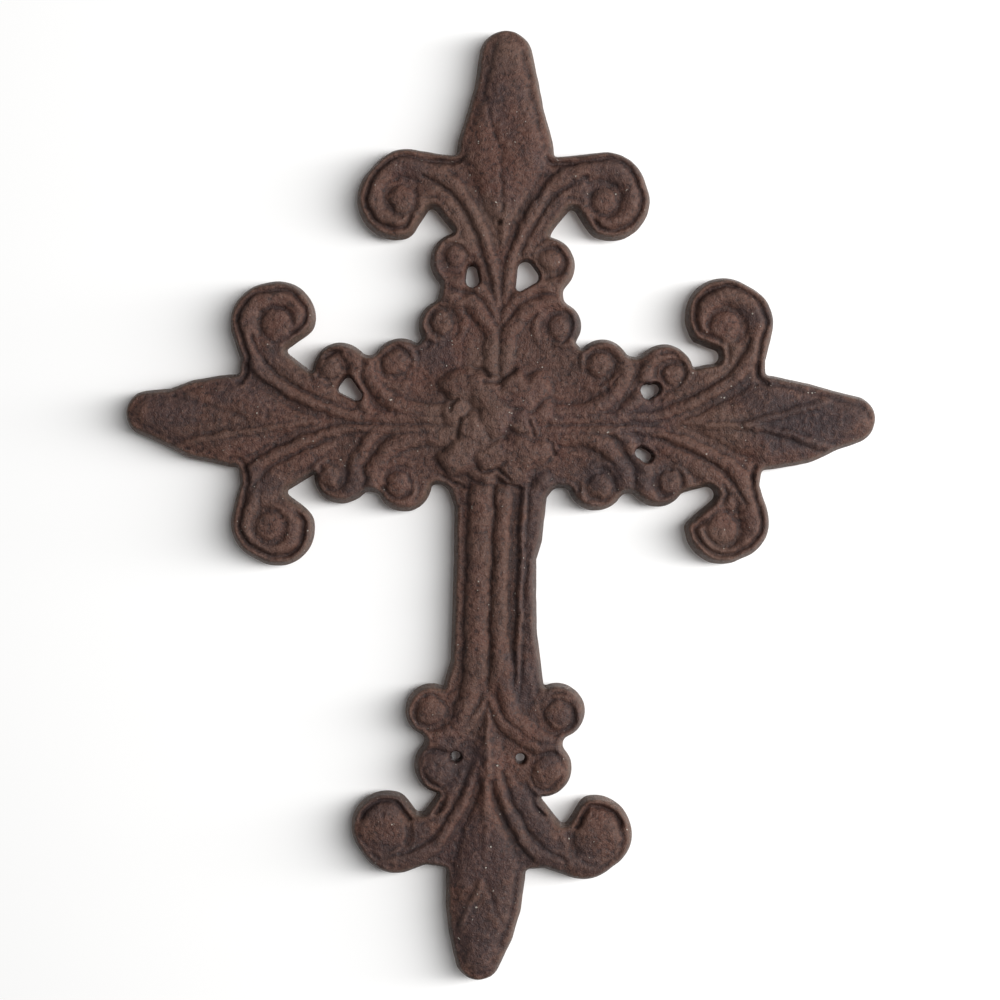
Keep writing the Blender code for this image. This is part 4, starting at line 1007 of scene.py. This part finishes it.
# The coats over the brown, in the order in which they are laid: what steers a coat, where it starts and is
# full, its largest share, and its colour.
COATS = (
    ("blotch", 0.38, 0.62, 1.0, RED_BROWN),
    ("cloud", 0.52, 0.68, 0.75, PURPLE),
    ("mottle", 0.52, 0.72, 0.45, TAN_AND_HIGHLIGHT),
    ("mottle", 0.46, 0.30, 0.6, SOOT_AND_SHADE),
    ("pale", 0.0, 1.0, 0.7, RUBBED),
    ("patch", 0.0, 1.0, 0.55, PURPLE),
    # Painted highlight along the outline's sloped wall.
    ("rim", 0.0, 1.0, 0.6, EDGE_HIGHLIGHT),
    # Painted highlight on broad raised parts.
    ("hollow", 0.0, -0.5, 0.2, TAN_AND_HIGHLIGHT),
    ("grain", 0.54, 0.66, 0.8, TAN_AND_HIGHLIGHT),
    ("grain", 0.46, 0.34, 0.8, SOOT_AND_SHADE),
    # Painted shade in the crevices, partly soot.
    ("crevice", 0.0, 1.0, 0.65, SOOT_AND_SHADE),
    # Painted shade in broad hollows.
    ("hollow", 0.15, 0.8, 0.1, SOOT_AND_SHADE),
    ("crest", 0.0, 1.0, 0.2, WORN),
    ("grit", 0.58, 0.74, 0.4, TAN_AND_HIGHLIGHT),
    ("grit", 0.42, 0.26, 0.5, SOOT_AND_SHADE),
    ("patch", 0.0, 1.0, 0.42, SCALE),
    ("pale", 0.0, 1.0, 0.2, RUBBED),
    # Painted glints: tiny near-white spots.
    ("painted_glint", 0.76, 0.80, 0.8, PAINTED_GLINT),
)

# The grit's share in the roughness and in the bare metal: from, to, and the values there.
GRIT_ROUGHNESS = (0.3, 0.7, 0.55, 0.85)
GRIT_METAL = (0.74, 0.78, 0.0, 0.8)
IRON_SPECULAR = 0.35

# The bumps too fine for the mesh, in metres.
BUMPS = (("grain", 0.00045), ("lump", 0.0004), ("grit", 0.00025))


def rusty_iron():
    """Matt rust-brown iron: blotchy and speckled, with painted shade, partly soot, in the crevices and
    hollows, rubbed paler on the crests and in patches, a painted highlight on broad raised parts and along
    the outline, and painted glints.
    """
    material = bpy.data.materials.new("rusty_cast_iron")
    nodes = Nodes(material)
    place = nodes.add("ShaderNodeTexCoord").outputs["Object"]
    fields = {name: nodes.noise(place, *row) for name, row in NOISES.items()}
    fields.update({name: nodes.value(name) for name in CARRIED})

    colour = BROWN
    for source, low, high, share, coat in COATS:
        colour = nodes.blend(nodes.span(fields[source], low, high, 0.0, share), colour, coat)
    nodes.feed(nodes.shader, "Base Color", colour)
    nodes.feed(nodes.shader, "Roughness", nodes.span(fields["grit"], *GRIT_ROUGHNESS))
    nodes.feed(nodes.shader, "Specular IOR Level", IRON_SPECULAR)
    nodes.feed(nodes.shader, "Metallic", nodes.span(fields["grit"], *GRIT_METAL))

    height = 0.0
    for source, depth in BUMPS:
        height = nodes.math("ADD", height, nodes.math("MULTIPLY", fields[source], depth))
    bump = nodes.add("ShaderNodeBump", {"Height": height, "Strength": 1.0, "Distance": 1.0})
    nodes.feed(nodes.shader, "Normal", bump.outputs["Normal"])
    return material


def wall_paint():
    """Bright matt white, seen from its front only so that it never hides the cross's back."""
    material = bpy.data.materials.new("white_wall")
    nodes = Nodes(material)
    nodes.shader.inputs["Base Color"].default_value = WALL_WHITE
    nodes.shader.inputs["Roughness"].default_value = 0.9
    nodes.shader.inputs["Specular IOR Level"].default_value = 0.1
    behind = nodes.add("ShaderNodeNewGeometry").outputs["Backfacing"]
    clear = nodes.add("ShaderNodeBsdfTransparent").outputs[0]
    mix = nodes.add("ShaderNodeMixShader", {0: behind, 1: nodes.shader.outputs[0], 2: clear})
    nodes.tree.links.new(mix.outputs[0], nodes.tree.nodes["Material Output"].inputs["Surface"])
    return material


def add_wall():
    """The white wall behind the cross, which casts no shadow, so that light from behind reaches the back."""
    half = 0.5 * WALL_SIZE
    corners = [(x * half, WALL_GAP, z * half) for x, z in ((-1, -1), (1, -1), (1, 1), (-1, 1))]
    mesh = bpy.data.meshes.new("wall")
    mesh.from_pydata(corners, [], [(0, 1, 2, 3)])
    mesh.materials.append(wall_paint())
    panel = bpy.data.objects.new("wall", mesh)
    bpy.context.scene.collection.objects.link(panel)
    panel.visible_shadow = False


def add_light(name, place, size, power, colour):
    lamp = bpy.data.lights.new(name, "AREA")
    lamp.shape = "RECTANGLE"
    lamp.size = size[0]
    lamp.size_y = size[1]
    lamp.energy = power
    lamp.color = colour
    holder = bpy.data.objects.new(name, lamp)
    holder.location = place
    holder.rotation_euler = (Vector(LIGHT_TARGET) - Vector(place)).to_track_quat("-Z", "Y").to_euler()
    bpy.context.scene.collection.objects.link(holder)


def add_world(strength):
    world = bpy.data.worlds.new("studio")
    world.use_nodes = True
    world.node_tree.nodes["Background"].inputs["Color"].default_value = (1.0, 1.0, 1.0, 1.0)
    world.node_tree.nodes["Background"].inputs["Strength"].default_value = strength
    bpy.context.scene.world = world


def add_camera():
    """The photograph's camera: straight on, and rolled so that the cross leans as it does there."""
    per_pixel = FRAME_WIDTH / FRAME_PIXELS
    right = (0.5 * FRAME_PIXELS - MIDDLE_PIXEL[0]) * per_pixel
    up = (MIDDLE_PIXEL[1] - 0.5 * FRAME_PIXELS) * per_pixel
    lens = bpy.data.cameras.new("camera")
    lens.sensor_width = SENSOR_WIDTH
    lens.lens = SENSOR_WIDTH * CAMERA_DISTANCE / FRAME_WIDTH
    camera = bpy.data.objects.new("camera", lens)
    camera.location = (right * math.cos(LEAN) - up * math.sin(LEAN), -CAMERA_DISTANCE,
                       right * math.sin(LEAN) + up * math.cos(LEAN))
    camera.rotation_euler = (0.5 * math.pi, -LEAN, 0.0)
    bpy.context.scene.collection.objects.link(camera)
    bpy.context.scene.camera = camera


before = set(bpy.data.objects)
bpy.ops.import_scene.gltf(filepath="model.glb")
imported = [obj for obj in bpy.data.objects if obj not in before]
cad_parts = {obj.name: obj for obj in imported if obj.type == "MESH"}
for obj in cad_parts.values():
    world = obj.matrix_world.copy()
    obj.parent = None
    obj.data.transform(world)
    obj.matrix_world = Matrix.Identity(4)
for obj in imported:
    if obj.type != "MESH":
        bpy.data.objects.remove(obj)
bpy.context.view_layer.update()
bpy.context.scene.view_settings.view_transform = "Standard"

cast_mesh = cast_relief()
close_back(cast_mesh)
cast_mesh.materials.append(rusty_iron())
cross = bpy.data.objects.new("cast_cross", cast_mesh)
bpy.context.scene.collection.objects.link(cross)
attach(cross, "root")
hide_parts("wall_cross")

add_wall()
for light, settings in LIGHTS.items():
    add_light(light, *settings)
add_world(SURROUND_LIGHT)
add_camera()
